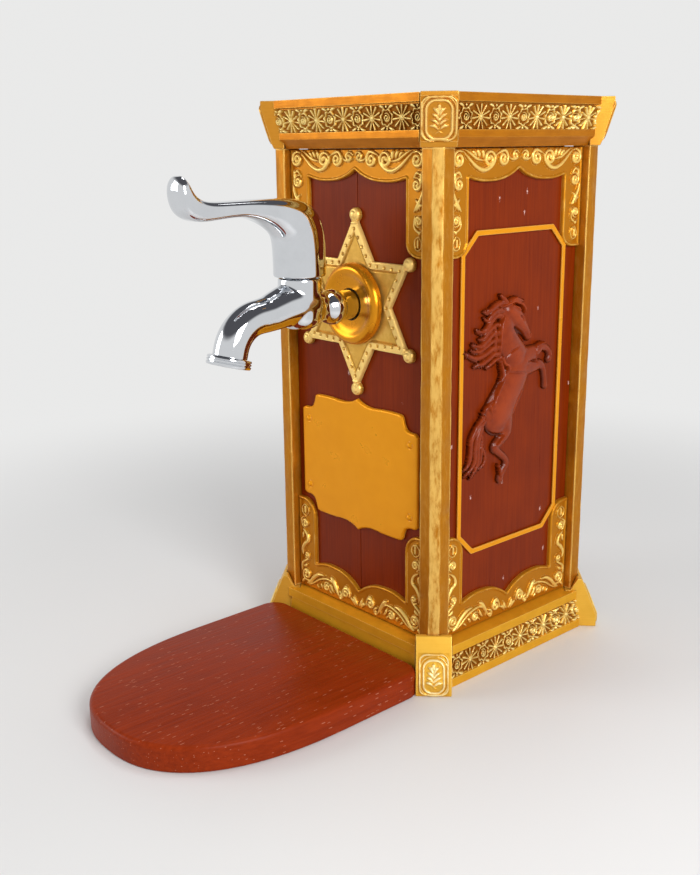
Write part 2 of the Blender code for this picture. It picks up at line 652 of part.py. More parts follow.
def build_crown_blocks(bench):
    """The four blocks at the crown's corners, whose faces lean out."""
    face_foot = CROWN_FOOT + CROWN_BLOCK_FACE_RISE
    outline = [
        (CROWN_BLOCK_BACK, CROWN_FOOT),
        (CROWN_BLOCK_FOOT_REACH - CROWN_BLOCK_TUCK, CROWN_FOOT),
        (CROWN_BLOCK_FOOT_REACH, face_foot),
        (CROWN_BLOCK_REACH, TOTAL_HEIGHT - CROWN_BLOCK_LIP_HEIGHT),
        (CROWN_BLOCK_REACH, TOTAL_HEIGHT),
        (CROWN_BLOCK_BACK, TOTAL_HEIGHT),
    ]
    for name, angle in CORNERS.items():
        mesh = plate_mesh("crown_block", [outline], CROWN_BLOCK_WIDTH)
        bench.part("crown_block_" + name, mesh, GOLD, profile_frame(angle))


def build_base_blocks(bench):
    """The four blocks at the base's corners, each with a lip round the foot of its post."""
    lip_outer = BASE_BLOCK_TOP_REACH - BASE_BLOCK_BEVEL
    lip_inner = lip_outer - BASE_BLOCK_LIP_WIDTH
    outline = [
        (BASE_BLOCK_BACK, 0),
        (BASE_BLOCK_REACH, 0),
        (BASE_BLOCK_REACH, BASE_BLOCK_FOOT_HEIGHT),
        (BASE_BLOCK_TOP_REACH, BASE_BLOCK_FACE_HEIGHT),
        (lip_outer, BASE_BLOCK_HEIGHT),
        (lip_inner, BASE_BLOCK_HEIGHT),
        (lip_inner - BASE_BLOCK_SLOPE, BASE_HEIGHT),
        (BASE_BLOCK_BACK, BASE_HEIGHT),
    ]
    for name, angle in CORNERS.items():
        mesh = plate_mesh("base_block", [outline], BASE_BLOCK_WIDTH)
        block = bench.part("base_block_" + name, mesh, GOLD, profile_frame(angle))
        bench.combine(block, bench.cutters.objects["post_room_" + name])


def scroll_frame_outline(band, leg, cusp_rise, bevel_rise, upward):
    """A scroll frame's outline about its wall's middle line: a band with two legs and a cusped edge."""
    far = UPRIGHT_TOP if upward else UPRIGHT_FOOT
    sign = -1 if upward else 1
    inner_edge = far + sign * band
    scallop = [
        (share * FRAME_INNER_HALF, inner_edge - sign * rise * cusp_rise) for share, rise in SCALLOP_SHARES
    ]
    half = scallop + [
        (FRAME_INNER_HALF, far + sign * (leg - bevel_rise)),
        (FRAME_INNER_HALF + LEG_BEVEL_RUN, far + sign * leg),
        (SKIN_HALF_WIDTH, far + sign * leg),
        (SKIN_HALF_WIDTH, far),
        (0, far),
    ]
    return mirrored(half)


def build_scroll_frames(bench):
    """An upper and a lower scroll frame on each of the four sides."""
    upper = scroll_frame_outline(
        UPPER_FRAME_BAND, UPPER_FRAME_LEG, UPPER_CUSP_RISE, UPPER_LEG_BEVEL_RISE, True
    )
    lower = scroll_frame_outline(
        LOWER_FRAME_BAND, LOWER_FRAME_LEG, LOWER_CUSP_RISE, LOWER_LEG_BEVEL_RISE, False
    )
    for side, angle in SIDES.items():
        matrix = face_frame(angle, SKIN_REACH + FRAME_THICKNESS / 2)
        for kind, outline in (("upper", upper), ("lower", lower)):
            mesh = plate_mesh("scroll_frame", [outline], FRAME_THICKNESS)
            bench.part(kind + "_scroll_frame_" + side, mesh, GOLD, matrix)


def octagon(half_width, half_height, corner):
    """A rectangle with its corners cut off, about the trim's middle height."""
    quarter = [(half_width - corner, half_height), (half_width, half_height - corner)]
    right = quarter + [(x, -y) for x, y in reversed(quarter)]
    left = [(-x, y) for x, y in reversed(right)]
    return [(x, y + TRIM_CENTRE_HEIGHT) for x, y in right + left]


def build_trims(bench):
    """The octagonal trims on the side and back walls."""
    outer = octagon(TRIM_HALF_WIDTH, TRIM_HALF_HEIGHT, TRIM_CORNER)
    inner_corner = TRIM_CORNER - TRIM_WIDTH * (2 - math.sqrt(2))
    inner = octagon(TRIM_HALF_WIDTH - TRIM_WIDTH, TRIM_HALF_HEIGHT - TRIM_WIDTH, inner_corner)
    for side in ("right", "back", "left"):
        mesh = plate_mesh("trim", [outer, inner], TRIM_THICKNESS)
        matrix = face_frame(SIDES[side], SKIN_REACH + TRIM_THICKNESS / 2)
        bench.part(side + "_octagon_trim", mesh, GOLD, matrix)


def build_horses(bench):
    """A rearing horse on each side wall, facing the back of the cabinet."""
    for side, turn in (("right", 1), ("left", -1)):
        outline = [
            (
                turn * ((across - 1 / 2) * HORSE_WIDTH - HORSE_SIDE_SHIFT),
                HORSE_FOOT_HEIGHT + up * HORSE_HEIGHT,
            )
            for across, up in HORSE_OUTLINE_SHARES
        ]
        mesh = plate_mesh("horse", [outline], HORSE_THICKNESS)
        matrix = face_frame(SIDES[side], SKIN_REACH + HORSE_THICKNESS / 2)
        bench.part(side + "_horse_relief", mesh, RED, matrix)


def build_name_plate(bench):
    """The blank plate with its stepped corners, two cusps and four studs."""
    quarter = [
        (across * PLATE_HALF_WIDTH, up * PLATE_HALF_HEIGHT) for across, up in PLATE_QUARTER_SHARES
    ]
    upper = list(reversed(quarter))
    lower = [(x, -y) for x, y in quarter]
    outline = [(x, y + PLATE_CENTRE_HEIGHT) for x, y in mirrored(upper + lower)]
    matrix = face_frame(SIDES["front"], SKIN_REACH)
    mesh = plate_mesh("name_plate", [outline], PLATE_THICKNESS)
    mesh.transform(Matrix.Translation((0, 0, PLATE_THICKNESS / 2)))
    plate = bench.part("name_plate", mesh, GOLD, matrix)
    top = PLATE_THICKNESS + PLATE_STUD_HEIGHT
    for across in (-1, 1):
        for up in (-1, 1):
            name = f"plate_stud_{across}_{up}"
            stud = turned_mesh(name, rod_profile(PLATE_STUD_RADIUS, PLATE_THICKNESS / 2, top), SMALL_STEPS)
            place = (across * PLATE_STUD_SPREAD, PLATE_CENTRE_HEIGHT + up * PLATE_STUD_RISE, 0)
            helper = bench.cutter(name, stud, matrix @ Matrix.Translation(place))
            bench.combine(plate, helper, "UNION")


def build_star(bench, shank_hole):
    """The six-pointed badge with a ball on each tip."""
    step = math.pi / STAR_POINTS
    outline = []
    for index in range(2 * STAR_POINTS):
        radius = STAR_NOTCH_RADIUS if index % 2 else STAR_TIP_RADIUS
        outline.append((radius * math.sin(index * step), radius * math.cos(index * step)))
    matrix = face_frame(SIDES["front"], SKIN_REACH + STAR_THICKNESS / 2)
    matrix = matrix @ Matrix.Translation((0, TAP_HEIGHT, 0))
    star = bench.part("star_badge", plate_mesh("star", [outline], STAR_THICKNESS), GOLD, matrix)
    for index in range(STAR_POINTS):
        name = f"star_ball_{index}"
        profile = rod_profile(STAR_BALL_RADIUS, -STAR_THICKNESS / 2, STAR_THICKNESS / 2)
        angle = 2 * index * step
        place = Vector((math.sin(angle), math.cos(angle), 0)) * STAR_BALL_CENTRE_RADIUS
        ball = turned_mesh(name, profile, SMALL_STEPS)
        helper = bench.cutter(name, ball, matrix @ Matrix.Translation(place))
        bench.combine(star, helper, "UNION")
    bench.combine(star, shank_hole)


def build_tap_ring(bench):
    """The domed ring that frames the shank on the badge, and the rubber washer in its rebate."""
    rebate = WASHER_RADIUS + GAP
    rebate_top = WASHER_THICKNESS + GAP
    profile = [(rebate, 0), (rebate, rebate_top), (RING_BORE, rebate_top)] + [
        (RING_BORE + out * RING_WIDTH, up * RING_HEIGHT) for out, up in reversed(RING_PROFILE_SHARES)
    ]
    profile.append((rebate, 0))
    matrix = shank_frame() @ Matrix.Translation((0, 0, RING_SEAT))
    bench.part("tap_ring", turned_mesh("ring", profile, 2 * ROUND_STEPS), GOLD, matrix, 50)
    inner = SHANK_RADIUS + GAP
    profile = ring_profile(inner, WASHER_RADIUS, 0, WASHER_THICKNESS)
    bench.part("outer_washer", turned_mesh("washer", profile, ROUND_STEPS), RUBBER, matrix, 50)


def spout_route(start_distance, reach_past_end):
    """The spout's middle line: forward from inside the barrel, a quarter bend, then down its ring."""
    bend = SPOUT_DROP - NOZZLE_RING_HEIGHT
    start = NOZZLE_DISTANCE - bend
    points = [(0, -start_distance, TAP_HEIGHT)]
    for index in range(SPOUT_BEND_STEPS + 1):
        angle = math.pi / 2 * index / SPOUT_BEND_STEPS
        distance = start + bend * math.sin(angle)
        points.append((0, -distance, TAP_HEIGHT - bend * (1 - math.cos(angle))))
    points.append((0, -NOZZLE_DISTANCE, TAP_HEIGHT - SPOUT_DROP - reach_past_end))
    return points


def barrel_profile():
    """The barrel's outside, rounded at its foot."""
    foot = TAP_HEIGHT - BARREL_DEPTH
    flat = BARREL_RADIUS - BARREL_FOOT_ROUND
    profile = [(0, BARREL_TOP), (BARREL_RADIUS, BARREL_TOP)]
    for index in range(CORNER_STEPS + 1):
        angle = math.pi / 2 * index / CORNER_STEPS
        radius = flat + BARREL_FOOT_ROUND * math.cos(angle)
        profile.append((radius, foot + BARREL_FOOT_ROUND * (1 - math.sin(angle))))
    profile.append((0, foot))
    return profile


def shank_profile():
    """The shank with its shoulder, from the barrel in to the tank: radius, distance from the axis."""
    return [
        (0, BARREL_DISTANCE),
        (SHOULDER_RADIUS, BARREL_DISTANCE),
        (SHOULDER_RADIUS, SHOULDER_DISTANCE + SHOULDER_ROUND),
        (SHOULDER_RADIUS - SHOULDER_ROUND / 2, SHOULDER_DISTANCE),
        (SHANK_RADIUS, SHOULDER_DISTANCE - SHOULDER_ROUND / 2),
        (SHANK_RADIUS, SHANK_INNER_END),
        (0, SHANK_INNER_END),
    ]


def build_tap_body(bench):
    """The barrel with its shank and spout, and the passages that the drink runs through."""
    barrel = turned_mesh("barrel", barrel_profile(), ROUND_STEPS)
    body = bench.part("tap_body", barrel, CHROME, barrel_frame(), 40)
    shank = bench.cutter("shank", turned_mesh("shank", shank_profile(), ROUND_STEPS), shank_frame())
    route = spout_route(BARREL_DISTANCE - OVERRUN, 0)
    spout = bench.cutter("spout", tube_mesh("spout", route, SPOUT_RADIUS))
    bench.combine(body, shank, "UNION")
    bench.combine(body, spout, "UNION")
    chamber_foot = TAP_HEIGHT - CHAMBER_DEPTH
    profile = rod_profile(CHAMBER_RADIUS, chamber_foot, BARREL_TOP + OVERRUN)
    chamber = bench.cutter("chamber", turned_mesh("chamber", profile, ROUND_STEPS), barrel_frame())
    profile = rod_profile(SHANK_BORE, SHANK_INNER_END - OVERRUN, BARREL_DISTANCE - OVERRUN)
    bore = bench.cutter("shank_bore", turned_mesh("shank_bore", profile, ROUND_STEPS), shank_frame())
    route = spout_route(BARREL_DISTANCE, OVERRUN)
    passage = bench.cutter("passage", tube_mesh("passage", route, SPOUT_BORE))
    for cutter in (chamber, bore, passage):
        bench.combine(body, cutter, solver="MANIFOLD")


def build_nozzle_ring(bench):
    """The ring round the spout's mouth."""
    foot = TAP_HEIGHT - SPOUT_DROP
    inner = SPOUT_RADIUS + GAP
    edge = (NOZZLE_RING_RADIUS - inner) / 2
    profile = [
        (inner, foot + NOZZLE_RING_HEIGHT),
        (NOZZLE_RING_RADIUS - edge, foot + NOZZLE_RING_HEIGHT),
        (NOZZLE_RING_RADIUS, foot + NOZZLE_RING_HEIGHT - edge),
        (NOZZLE_RING_RADIUS, foot + edge),
        (NOZZLE_RING_RADIUS - edge, foot),
        (inner, foot),
        (inner, foot + NOZZLE_RING_HEIGHT),
    ]
    matrix = Matrix.Translation((0, -NOZZLE_DISTANCE, 0))
    return bench.part("nozzle_ring", turned_mesh("nozzle_ring", profile, ROUND_STEPS), CHROME, matrix, 40)


def build_valve(bench):
    """The plug that turns in the barrel, its O-ring, and the bonnet nut that holds it down."""
    radius = CHAMBER_RADIUS - GAP
    groove = radius - 2 * O_RING_SECTION - GAP / 2
    groove_middle = BARREL_TOP - O_RING_DROP
    half_groove = O_RING_SECTION + GAP
    profile = [
        (0, BARREL_TOP + STEM_LENGTH),
        (STEM_RADIUS, BARREL_TOP + STEM_LENGTH),
        (STEM_RADIUS, BARREL_TOP),
        (radius, BARREL_TOP),
        (radius, groove_middle + half_groove),
        (groove, groove_middle + half_groove),
        (groove, groove_middle - half_groove),
        (radius, groove_middle - half_groove),
        (radius, PLUG_FOOT),
        (0, PLUG_FOOT),
    ]
    plug = bench.part("valve_plug", turned_mesh("plug", profile, ROUND_STEPS), STEEL, barrel_frame(), 40)
    port_profile = rod_profile(PLUG_PORT, -radius - OVERRUN, radius + OVERRUN)
    across = Matrix.Translation((0, -BARREL_DISTANCE, TAP_HEIGHT)) @ Matrix.Rotation(math.pi / 2, 4, "Y")
    port = bench.cutter("plug_port", turned_mesh("plug_port", port_profile, ROUND_STEPS), across)
    bench.combine(plug, port)

    middle_radius = groove + O_RING_SECTION + GAP / 2
    section = []
    for index in range(O_RING_STEPS + 1):
        angle = math.pi / 2 - 2 * math.pi * index / O_RING_STEPS
        out = middle_radius + O_RING_SECTION * math.cos(angle)
        section.append((out, groove_middle + O_RING_SECTION * math.sin(angle)))
    bench.part("stem_o_ring", turned_mesh("o_ring", section, ROUND_STEPS), RUBBER, barrel_frame(), 50)

    profile = ring_profile(STEM_RADIUS + GAP, BONNET_RADIUS, HOOD_FOOT, HOOD_FOOT + BONNET_HEIGHT)
    nut = bench.part("bonnet_nut", turned_mesh("bonnet", profile, BONNET_SIDES * 4), STEEL, barrel_frame())
    shape_hexagon(bench, nut, BONNET_SIDES, BONNET_RADIUS, HOOD_FOOT, HOOD_FOOT + BONNET_HEIGHT)


def shape_hexagon(bench, nut, sides, radius, low, high):
    """Keeps only what lies inside a prism with the nut's number of sides."""
    profile = rod_profile(radius, low - OVERRUN, high + OVERRUN)
    prism = turned_mesh(nut.name + "_prism", profile, sides)
    helper = bench.cutter(nut.name + "_prism", prism, nut.matrix_world)
    bench.combine(nut, helper, "INTERSECT")


def hood_profile():
    """The hood's outside: a straight side with a domed top."""
    side_top = HOOD_FOOT + HOOD_SIDE_HEIGHT
    dome = HOOD_HEIGHT - HOOD_SIDE_HEIGHT
    profile = [(share * HOOD_RADIUS, side_top + rise * dome) for share, rise in HOOD_PROFILE_SHARES]
    return profile + [(HOOD_RADIUS, HOOD_FOOT), (0, HOOD_FOOT)]


def build_handle(bench):
    """The hood with its lever, hollowed for the bonnet nut and the plug's stem."""
    hood = turned_mesh("hood", hood_profile(), ROUND_STEPS)
    handle = bench.part("tap_handle", hood, CHROME, barrel_frame(), 40)
    outline = [(out * LEVER_LENGTH, HOOD_FOOT + up * LEVER_TIP_HEIGHT) for out, up in LEVER_SHARES]
    lever = plate_mesh("lever", [outline], 2 * LEVER_HALF_WIDTH)
    matrix = barrel_frame() @ profile_frame(SIDES["front"])
    helper = bench.cutter("lever", lever, matrix)
    bevel = helper.modifiers.new("edges", "BEVEL")
    bevel.width = LEVER_EDGE_ROUND
    bevel.segments = 2
    bevel.limit_method = "ANGLE"
    bevel.angle_limit = math.radians(60)
    bench.combine(handle, helper, "UNION")

    cavity_top = HOOD_FOOT + BONNET_HEIGHT + 2 * GAP
    profile = rod_profile(HOOD_RADIUS - HOOD_WALL, HOOD_FOOT - OVERRUN, cavity_top)
    cavity = bench.cutter("hood_cavity", turned_mesh("cavity", profile, ROUND_STEPS), barrel_frame())
    profile = rod_profile(STEM_RADIUS + GAP, HOOD_FOOT, BARREL_TOP + STEM_LENGTH + GAP)
    socket = bench.cutter("stem_socket", turned_mesh("socket", profile, ROUND_STEPS), barrel_frame())
    grub_height = HOOD_FOOT + GRUB_HEIGHT
    grub_start = STEM_RADIUS + 2 * GAP
    back = barrel_frame() @ Matrix.Translation((0, 0, grub_height)) @ Matrix.Rotation(-math.pi / 2, 4, "X")
    profile = rod_profile(GRUB_RADIUS + GAP, 0, HOOD_RADIUS + OVERRUN)
    hole = bench.cutter("grub_hole", turned_mesh("grub_hole", profile, SMALL_STEPS), back)
    for cutter in (cavity, socket, hole):
        bench.combine(handle, cutter, solver="MANIFOLD")
    profile = rod_profile(GRUB_RADIUS, grub_start, grub_start + GRUB_LENGTH)
    bench.part("handle_grub_screw", turned_mesh("grub", profile, SMALL_STEPS), STEEL, back, 40)


def build_shank_fixings(bench):
    """The rubber washer and the lock nut on the shank inside the tank."""
    washer_near = LOCK_NUT_FAR + GAP
    washer_far = washer_near + WASHER_THICKNESS
    inner = SHANK_RADIUS + GAP
    profile = ring_profile(inner, WASHER_RADIUS, washer_near, washer_far)
    bench.part("inner_washer", turned_mesh("washer", profile, ROUND_STEPS), RUBBER, shank_frame(), 50)
    profile = ring_profile(inner, LOCK_NUT_RADIUS, LOCK_NUT_NEAR, LOCK_NUT_FAR)
    nut = bench.part("lock_nut", turned_mesh("lock_nut", profile, LOCK_NUT_SIDES * 4), STEEL, shank_frame())
    shape_hexagon(bench, nut, LOCK_NUT_SIDES, LOCK_NUT_RADIUS, LOCK_NUT_NEAR, LOCK_NUT_FAR)


def build_tank(bench, shank_hole):
    """The open tank, its shelf and the two cleats under the shelf."""
    wide = TANK_HALF_WIDTH
    mesh = box_mesh("tank", (-wide, -wide, TANK_FOOT), (wide, wide, TANK_TOP))
    tank = bench.part("reservoir_tank", mesh, CLEAR_PLASTIC)
    bevel = tank.modifiers.new("edges", "BEVEL")
    bevel.width = TANK_EDGE_ROUND
    bevel.segments = 2
    hollow = wide - TANK_WALL
    floor = TANK_FOOT + TANK_WALL
    mesh = box_mesh("hollow", (-hollow, -hollow, floor), (hollow, hollow, TANK_TOP + OVERRUN))
    bench.combine(tank, bench.cutter("tank_hollow", mesh))
    bench.combine(tank, shank_hole)

    shelf_foot = SHELF_TOP - SHELF_THICKNESS
    half = SHELF_HALF_WIDTH
    bench.part("tank_shelf", box_mesh("shelf", (-half, -half, shelf_foot), (half, half, SHELF_TOP)), RED)
    cleat_outer = WALL_INNER - GAP
    cleat_top = shelf_foot - GAP
    for name, sign in (("left", -1), ("right", 1)):
        low = (cleat_outer - CLEAT_WIDTH, -CLEAT_HALF_LENGTH, cleat_top - CLEAT_HEIGHT)
        mesh = box_mesh("cleat", low, (cleat_outer, CLEAT_HALF_LENGTH, cleat_top))
        turn = Matrix.Rotation(0 if sign > 0 else math.pi, 4, "Z")
        bench.part("shelf_cleat_" + name, mesh, RED, turn)


def build_floor_and_lid(bench):
    """The floor inside the base and the lift-off lid with its finger hole."""
    half = BASE_INNER - GAP
    mesh = box_mesh("floor", (-half, -half, 0), (half, half, FLOOR_THICKNESS))
    bench.part("floor_panel", mesh, RED)
    wide = LID_HALF_WIDTH
    lid_top = LID_FOOT + LID_THICKNESS
    mesh = box_mesh("lid", (-wide, -wide, LID_FOOT), (wide, wide, lid_top))
    lid = bench.part("lid_panel", mesh, RED)
    bevel = lid.modifiers.new("edges", "BEVEL")
    bevel.width = LID_EDGE_ROUND
    bevel.segments = 1
    profile = rod_profile(LID_FINGER_RADIUS, LID_FOOT - OVERRUN, lid_top + OVERRUN)
    bench.combine(lid, bench.cutter("finger_hole", turned_mesh("finger_hole", profile, ROUND_STEPS)))


def tray_outline():
    """The tray in plan: a straight back with rounded corners and a blunt round nose."""
    nose_start = TRAY_END - TRAY_NOSE_LENGTH
    half = [(0, -TRAY_BACK)]
    corner_x = TRAY_HALF_WIDTH - TRAY_CORNER_RADIUS
    corner_y = TRAY_BACK + TRAY_CORNER_RADIUS
    for index in range(CORNER_STEPS + 1):
        angle = math.pi / 2 * (1 - index / CORNER_STEPS)
        x = corner_x + TRAY_CORNER_RADIUS * math.cos(angle)
        half.append((x, TRAY_CORNER_RADIUS * math.sin(angle) - corner_y))
    for index in range(TRAY_NOSE_STEPS + 1):
        angle = math.pi / 2 * index / TRAY_NOSE_STEPS
        x = TRAY_HALF_WIDTH * math.cos(angle) ** (2 / TRAY_NOSE_POWER)
        y = nose_start + TRAY_NOSE_LENGTH * math.sin(angle) ** (2 / TRAY_NOSE_POWER)
        half.append((x if index < TRAY_NOSE_STEPS else 0, -y))
    return mirrored(half)


def build_tray(bench, front_rail):
    """The tray, its eased edges, and the two screws that hold it to the front rail."""
    middle = Matrix.Translation((0, 0, TRAY_THICKNESS / 2))
    tray = bench.part("tray", plate_mesh("tray", [tray_outline()], TRAY_THICKNESS), RED, middle)
    bevel = tray.modifiers.new("edges", "BEVEL")
    bevel.width = TRAY_EDGE_ROUND
    bevel.segments = 2
    bevel.limit_method = "ANGLE"
    bevel.angle_limit = math.radians(60)
    seat = BASE_INNER - GAP
    profile = [
        (0, seat + TRAY_SCREW_LENGTH),
        (TRAY_SCREW_RADIUS, seat + TRAY_SCREW_LENGTH),
        (TRAY_SCREW_RADIUS, seat),
        (TRAY_SCREW_HEAD_RADIUS, seat),
        (TRAY_SCREW_HEAD_RADIUS, seat - TRAY_SCREW_HEAD_THICKNESS),
        (0, seat - TRAY_SCREW_HEAD_THICKNESS),
    ]
    hole_profile = rod_profile(TRAY_SCREW_RADIUS + GAP, seat - OVERRUN, seat + TRAY_SCREW_LENGTH + GAP)
    for name, sign in (("left", -1), ("right", 1)):
        place = (sign * TRAY_SCREW_HALF_SPACING, 0, TRAY_THICKNESS / 2)
        matrix = Matrix.Translation(place) @ Matrix.Rotation(math.pi / 2, 4, "X")
        bench.part("tray_screw_" + name, turned_mesh("tray_screw", profile, SMALL_STEPS), STEEL, matrix, 40)
        mesh = turned_mesh("tray_screw_hole", hole_profile, SMALL_STEPS)
        hole = bench.cutter("tray_screw_hole_" + name, mesh, matrix)
        bench.combine(tray, hole)
        bench.combine(front_rail, hole)


def main():
    """Builds the whole dispenser."""
    remove_start_objects()
    bench = Bench()
    profile = rod_profile(SHANK_RADIUS + GAP, SHANK_INNER_END, SHOULDER_DISTANCE)
    shank_hole = bench.cutter("shank_hole", turned_mesh("shank_hole", profile, ROUND_STEPS), shank_frame())
    build_posts(bench)
    build_walls(bench, shank_hole)
    base_rails = build_rails(
        bench, "base", base_rail_outline(), BASE_BLOCK_WIDTH, BASE_BLOCK_BACK, 0, BASE_BLOCK_HEIGHT
    )
    build_rails(
        bench, "crown", crown_rail_outline(), CROWN_BLOCK_WIDTH, CROWN_BLOCK_BACK, CROWN_FOOT, TOTAL_HEIGHT
    )
    build_base_blocks(bench)
    build_crown_blocks(bench)
    build_scroll_frames(bench)
    build_trims(bench)
    build_horses(bench)
    build_name_plate(bench)
    build_star(bench, shank_hole)
    build_tap_ring(bench)
    build_tap_body(bench)
    build_nozzle_ring(bench)
    build_valve(bench)
    build_handle(bench)
    build_shank_fixings(bench)
    build_tank(bench, shank_hole)
    build_floor_and_lid(bench)
    build_tray(bench, base_rails["front"])


if __name__ == "__main__":
    main()
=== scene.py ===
"""Dresses the shot dispenser: gold cabinet, red-brown panels, carved ornament, chrome tap and tray.

Sizes are in millimetres until a piece is placed. +Z is up, and the tap and the tray face -Y.
"""

import logging
import math
from dataclasses import dataclass, field
from enum import Enum
from typing import Callable, Sequence

import bpy
import numpy as np
from mathutils import Matrix, Vector


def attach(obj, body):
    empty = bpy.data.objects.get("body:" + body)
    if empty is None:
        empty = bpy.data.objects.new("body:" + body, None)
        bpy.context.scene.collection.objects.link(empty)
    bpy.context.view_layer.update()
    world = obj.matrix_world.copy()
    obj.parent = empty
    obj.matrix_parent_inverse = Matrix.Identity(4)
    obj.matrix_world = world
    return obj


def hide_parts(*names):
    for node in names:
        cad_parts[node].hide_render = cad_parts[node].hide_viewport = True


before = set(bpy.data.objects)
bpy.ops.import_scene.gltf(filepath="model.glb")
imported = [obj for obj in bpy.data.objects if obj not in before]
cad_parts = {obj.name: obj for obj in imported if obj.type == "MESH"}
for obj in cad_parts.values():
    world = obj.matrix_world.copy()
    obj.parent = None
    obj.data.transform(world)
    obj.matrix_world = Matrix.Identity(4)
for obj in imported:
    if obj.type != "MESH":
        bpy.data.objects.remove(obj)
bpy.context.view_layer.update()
LOG = logging.getLogger("shot_dispenser")

MM = 0.001
POST_REACH = 51.5
POST_INNER = 42.4
UPRIGHT_FOOT = 18.9
UPRIGHT_TOP = 224.5
WALL_REACH = 46.3
TAP_HEIGHT = 160.8
BARREL_DISTANCE = 78.4

Point = tuple[float, float]
Colour = tuple[float, float, float]
Placing = Callable[[np.ndarray, np.ndarray, np.ndarray], np.ndarray]


class Side(Enum):
    """The cabinet's four sides, with the angle that each faces."""

    FRONT = -90
    RIGHT = 0
    BACK = 90
    LEFT = 180

    @property
    def label(self) -> str:
        """The side's name as the CAD nodes spell it."""
        return self.name.lower()


class Corner(Enum):
    """The cabinet's four corners, with the angle that each faces."""

    FRONT_RIGHT = -45
    BACK_RIGHT = 45
    BACK_LEFT = 135
    FRONT_LEFT = 225

    @property
    def label(self) -> str:
        """The corner's name as the CAD nodes spell it."""
        return self.name.lower()


class Body(Enum):
    """The bodies that pieces ride on."""

    CABINET = "cabinet"
    LEVER = "tap_lever"
    LID = "lid"


# ---- Materials


class Wiring:
    """Adds and joins the nodes of one node tree."""

    def __init__(self, tree: bpy.types.NodeTree) -> None:
        """Keeps the tree.

        Args:
            tree: The node tree of a material, a world or a group.
        """
        self.tree = tree

    def add(self, kind: str, values: dict | None = None, **settings) -> bpy.types.Node:
        """Adds a shader node.

        Args:
            kind: The node's type without its ShaderNode prefix.
            values: Numbers or sockets for its inputs, by name or index.
            settings: Attributes of the node itself.

        Returns:
            The new node.
        """
        node = self.tree.nodes.new("ShaderNode" + kind)
        for key, value in settings.items():
            setattr(node, key, value)
        for key, value in (values or {}).items():
            if isinstance(value, bpy.types.NodeSocket):
                self.tree.links.new(value, node.inputs[key])
            else:
                node.inputs[key].default_value = value
        return node

    def math(self, operation: str, first, second=0.0, clamp: bool = False) -> bpy.types.NodeSocket:
        """Adds a Math node and returns its value."""
        return self.add("Math", {0: first, 1: second}, operation=operation, use_clamp=clamp).outputs[0]

    def blend(self, share, first, second) -> bpy.types.NodeSocket:
        """Mixes two colours and returns the result."""
        values = {0: share, 6: rgba(first), 7: rgba(second)}
        return self.add("Mix", values, data_type="RGBA").outputs[2]

    def noise(self, vector, scale: float, detail: float = 3.0, rough: float = 0.55) -> bpy.types.NodeSocket:
        """Adds a Noise texture and returns its value."""
        values = {"Vector": vector, "Scale": scale, "Detail": detail, "Roughness": rough}
        return self.add("TexNoise", values).outputs[0]

    def stretch(self, vector, scale: Sequence[float]) -> bpy.types.NodeSocket:
        """Scales a vector along each axis and returns it."""
        return self.add("Mapping", {"Vector": vector, "Scale": tuple(scale)}).outputs[0]

    def step(self, value, low: float, high: float) -> bpy.types.NodeSocket:
        """Maps low..high smoothly to 0..1 and returns it."""
        values = {"Value": value, "From Min": low, "From Max": high}
        return self.add("MapRange", values, interpolation_type="SMOOTHSTEP").outputs[0]

    def group(self, tree: bpy.types.NodeTree, values: dict) -> bpy.types.Node:
        """Places a node group with its own values and returns the node."""
        node = self.add("Group")
        node.node_tree = tree
        for key, value in values.items():
            if isinstance(value, bpy.types.NodeSocket):
                self.tree.links.new(value, node.inputs[key])
            else:
                node.inputs[key].default_value = value
        return node


def rgba(value):
    """A colour with its alpha, or the socket unchanged."""
    return (*value, 1.0) if isinstance(value, tuple) and len(value) == 3 else value


def new_group(name: str, inputs: dict[str, str], outputs: dict[str, str]) -> tuple[Wiring, dict, dict]:
    """Starts a shader node group.

    Args:
        name: The group's name.
        inputs: Socket type by input name.
        outputs: Socket type by output name.

    Returns:
        The group's wiring, its input sockets by name, and its output sockets by name.
    """
    tree = bpy.data.node_groups.new(name, "ShaderNodeTree")
    for label, kind in inputs.items():
        tree.interface.new_socket(label, in_out="INPUT", socket_type="NodeSocket" + kind)
    for label, kind in outputs.items():
        tree.interface.new_socket(label, in_out="OUTPUT", socket_type="NodeSocket" + kind)
    start = tree.nodes.new("NodeGroupInput")
    end = tree.nodes.new("NodeGroupOutput")
    sources = {label: start.outputs[label] for label in inputs}
    targets = {label: end.inputs[label] for label in outputs}
    return Wiring(tree), sources, targets


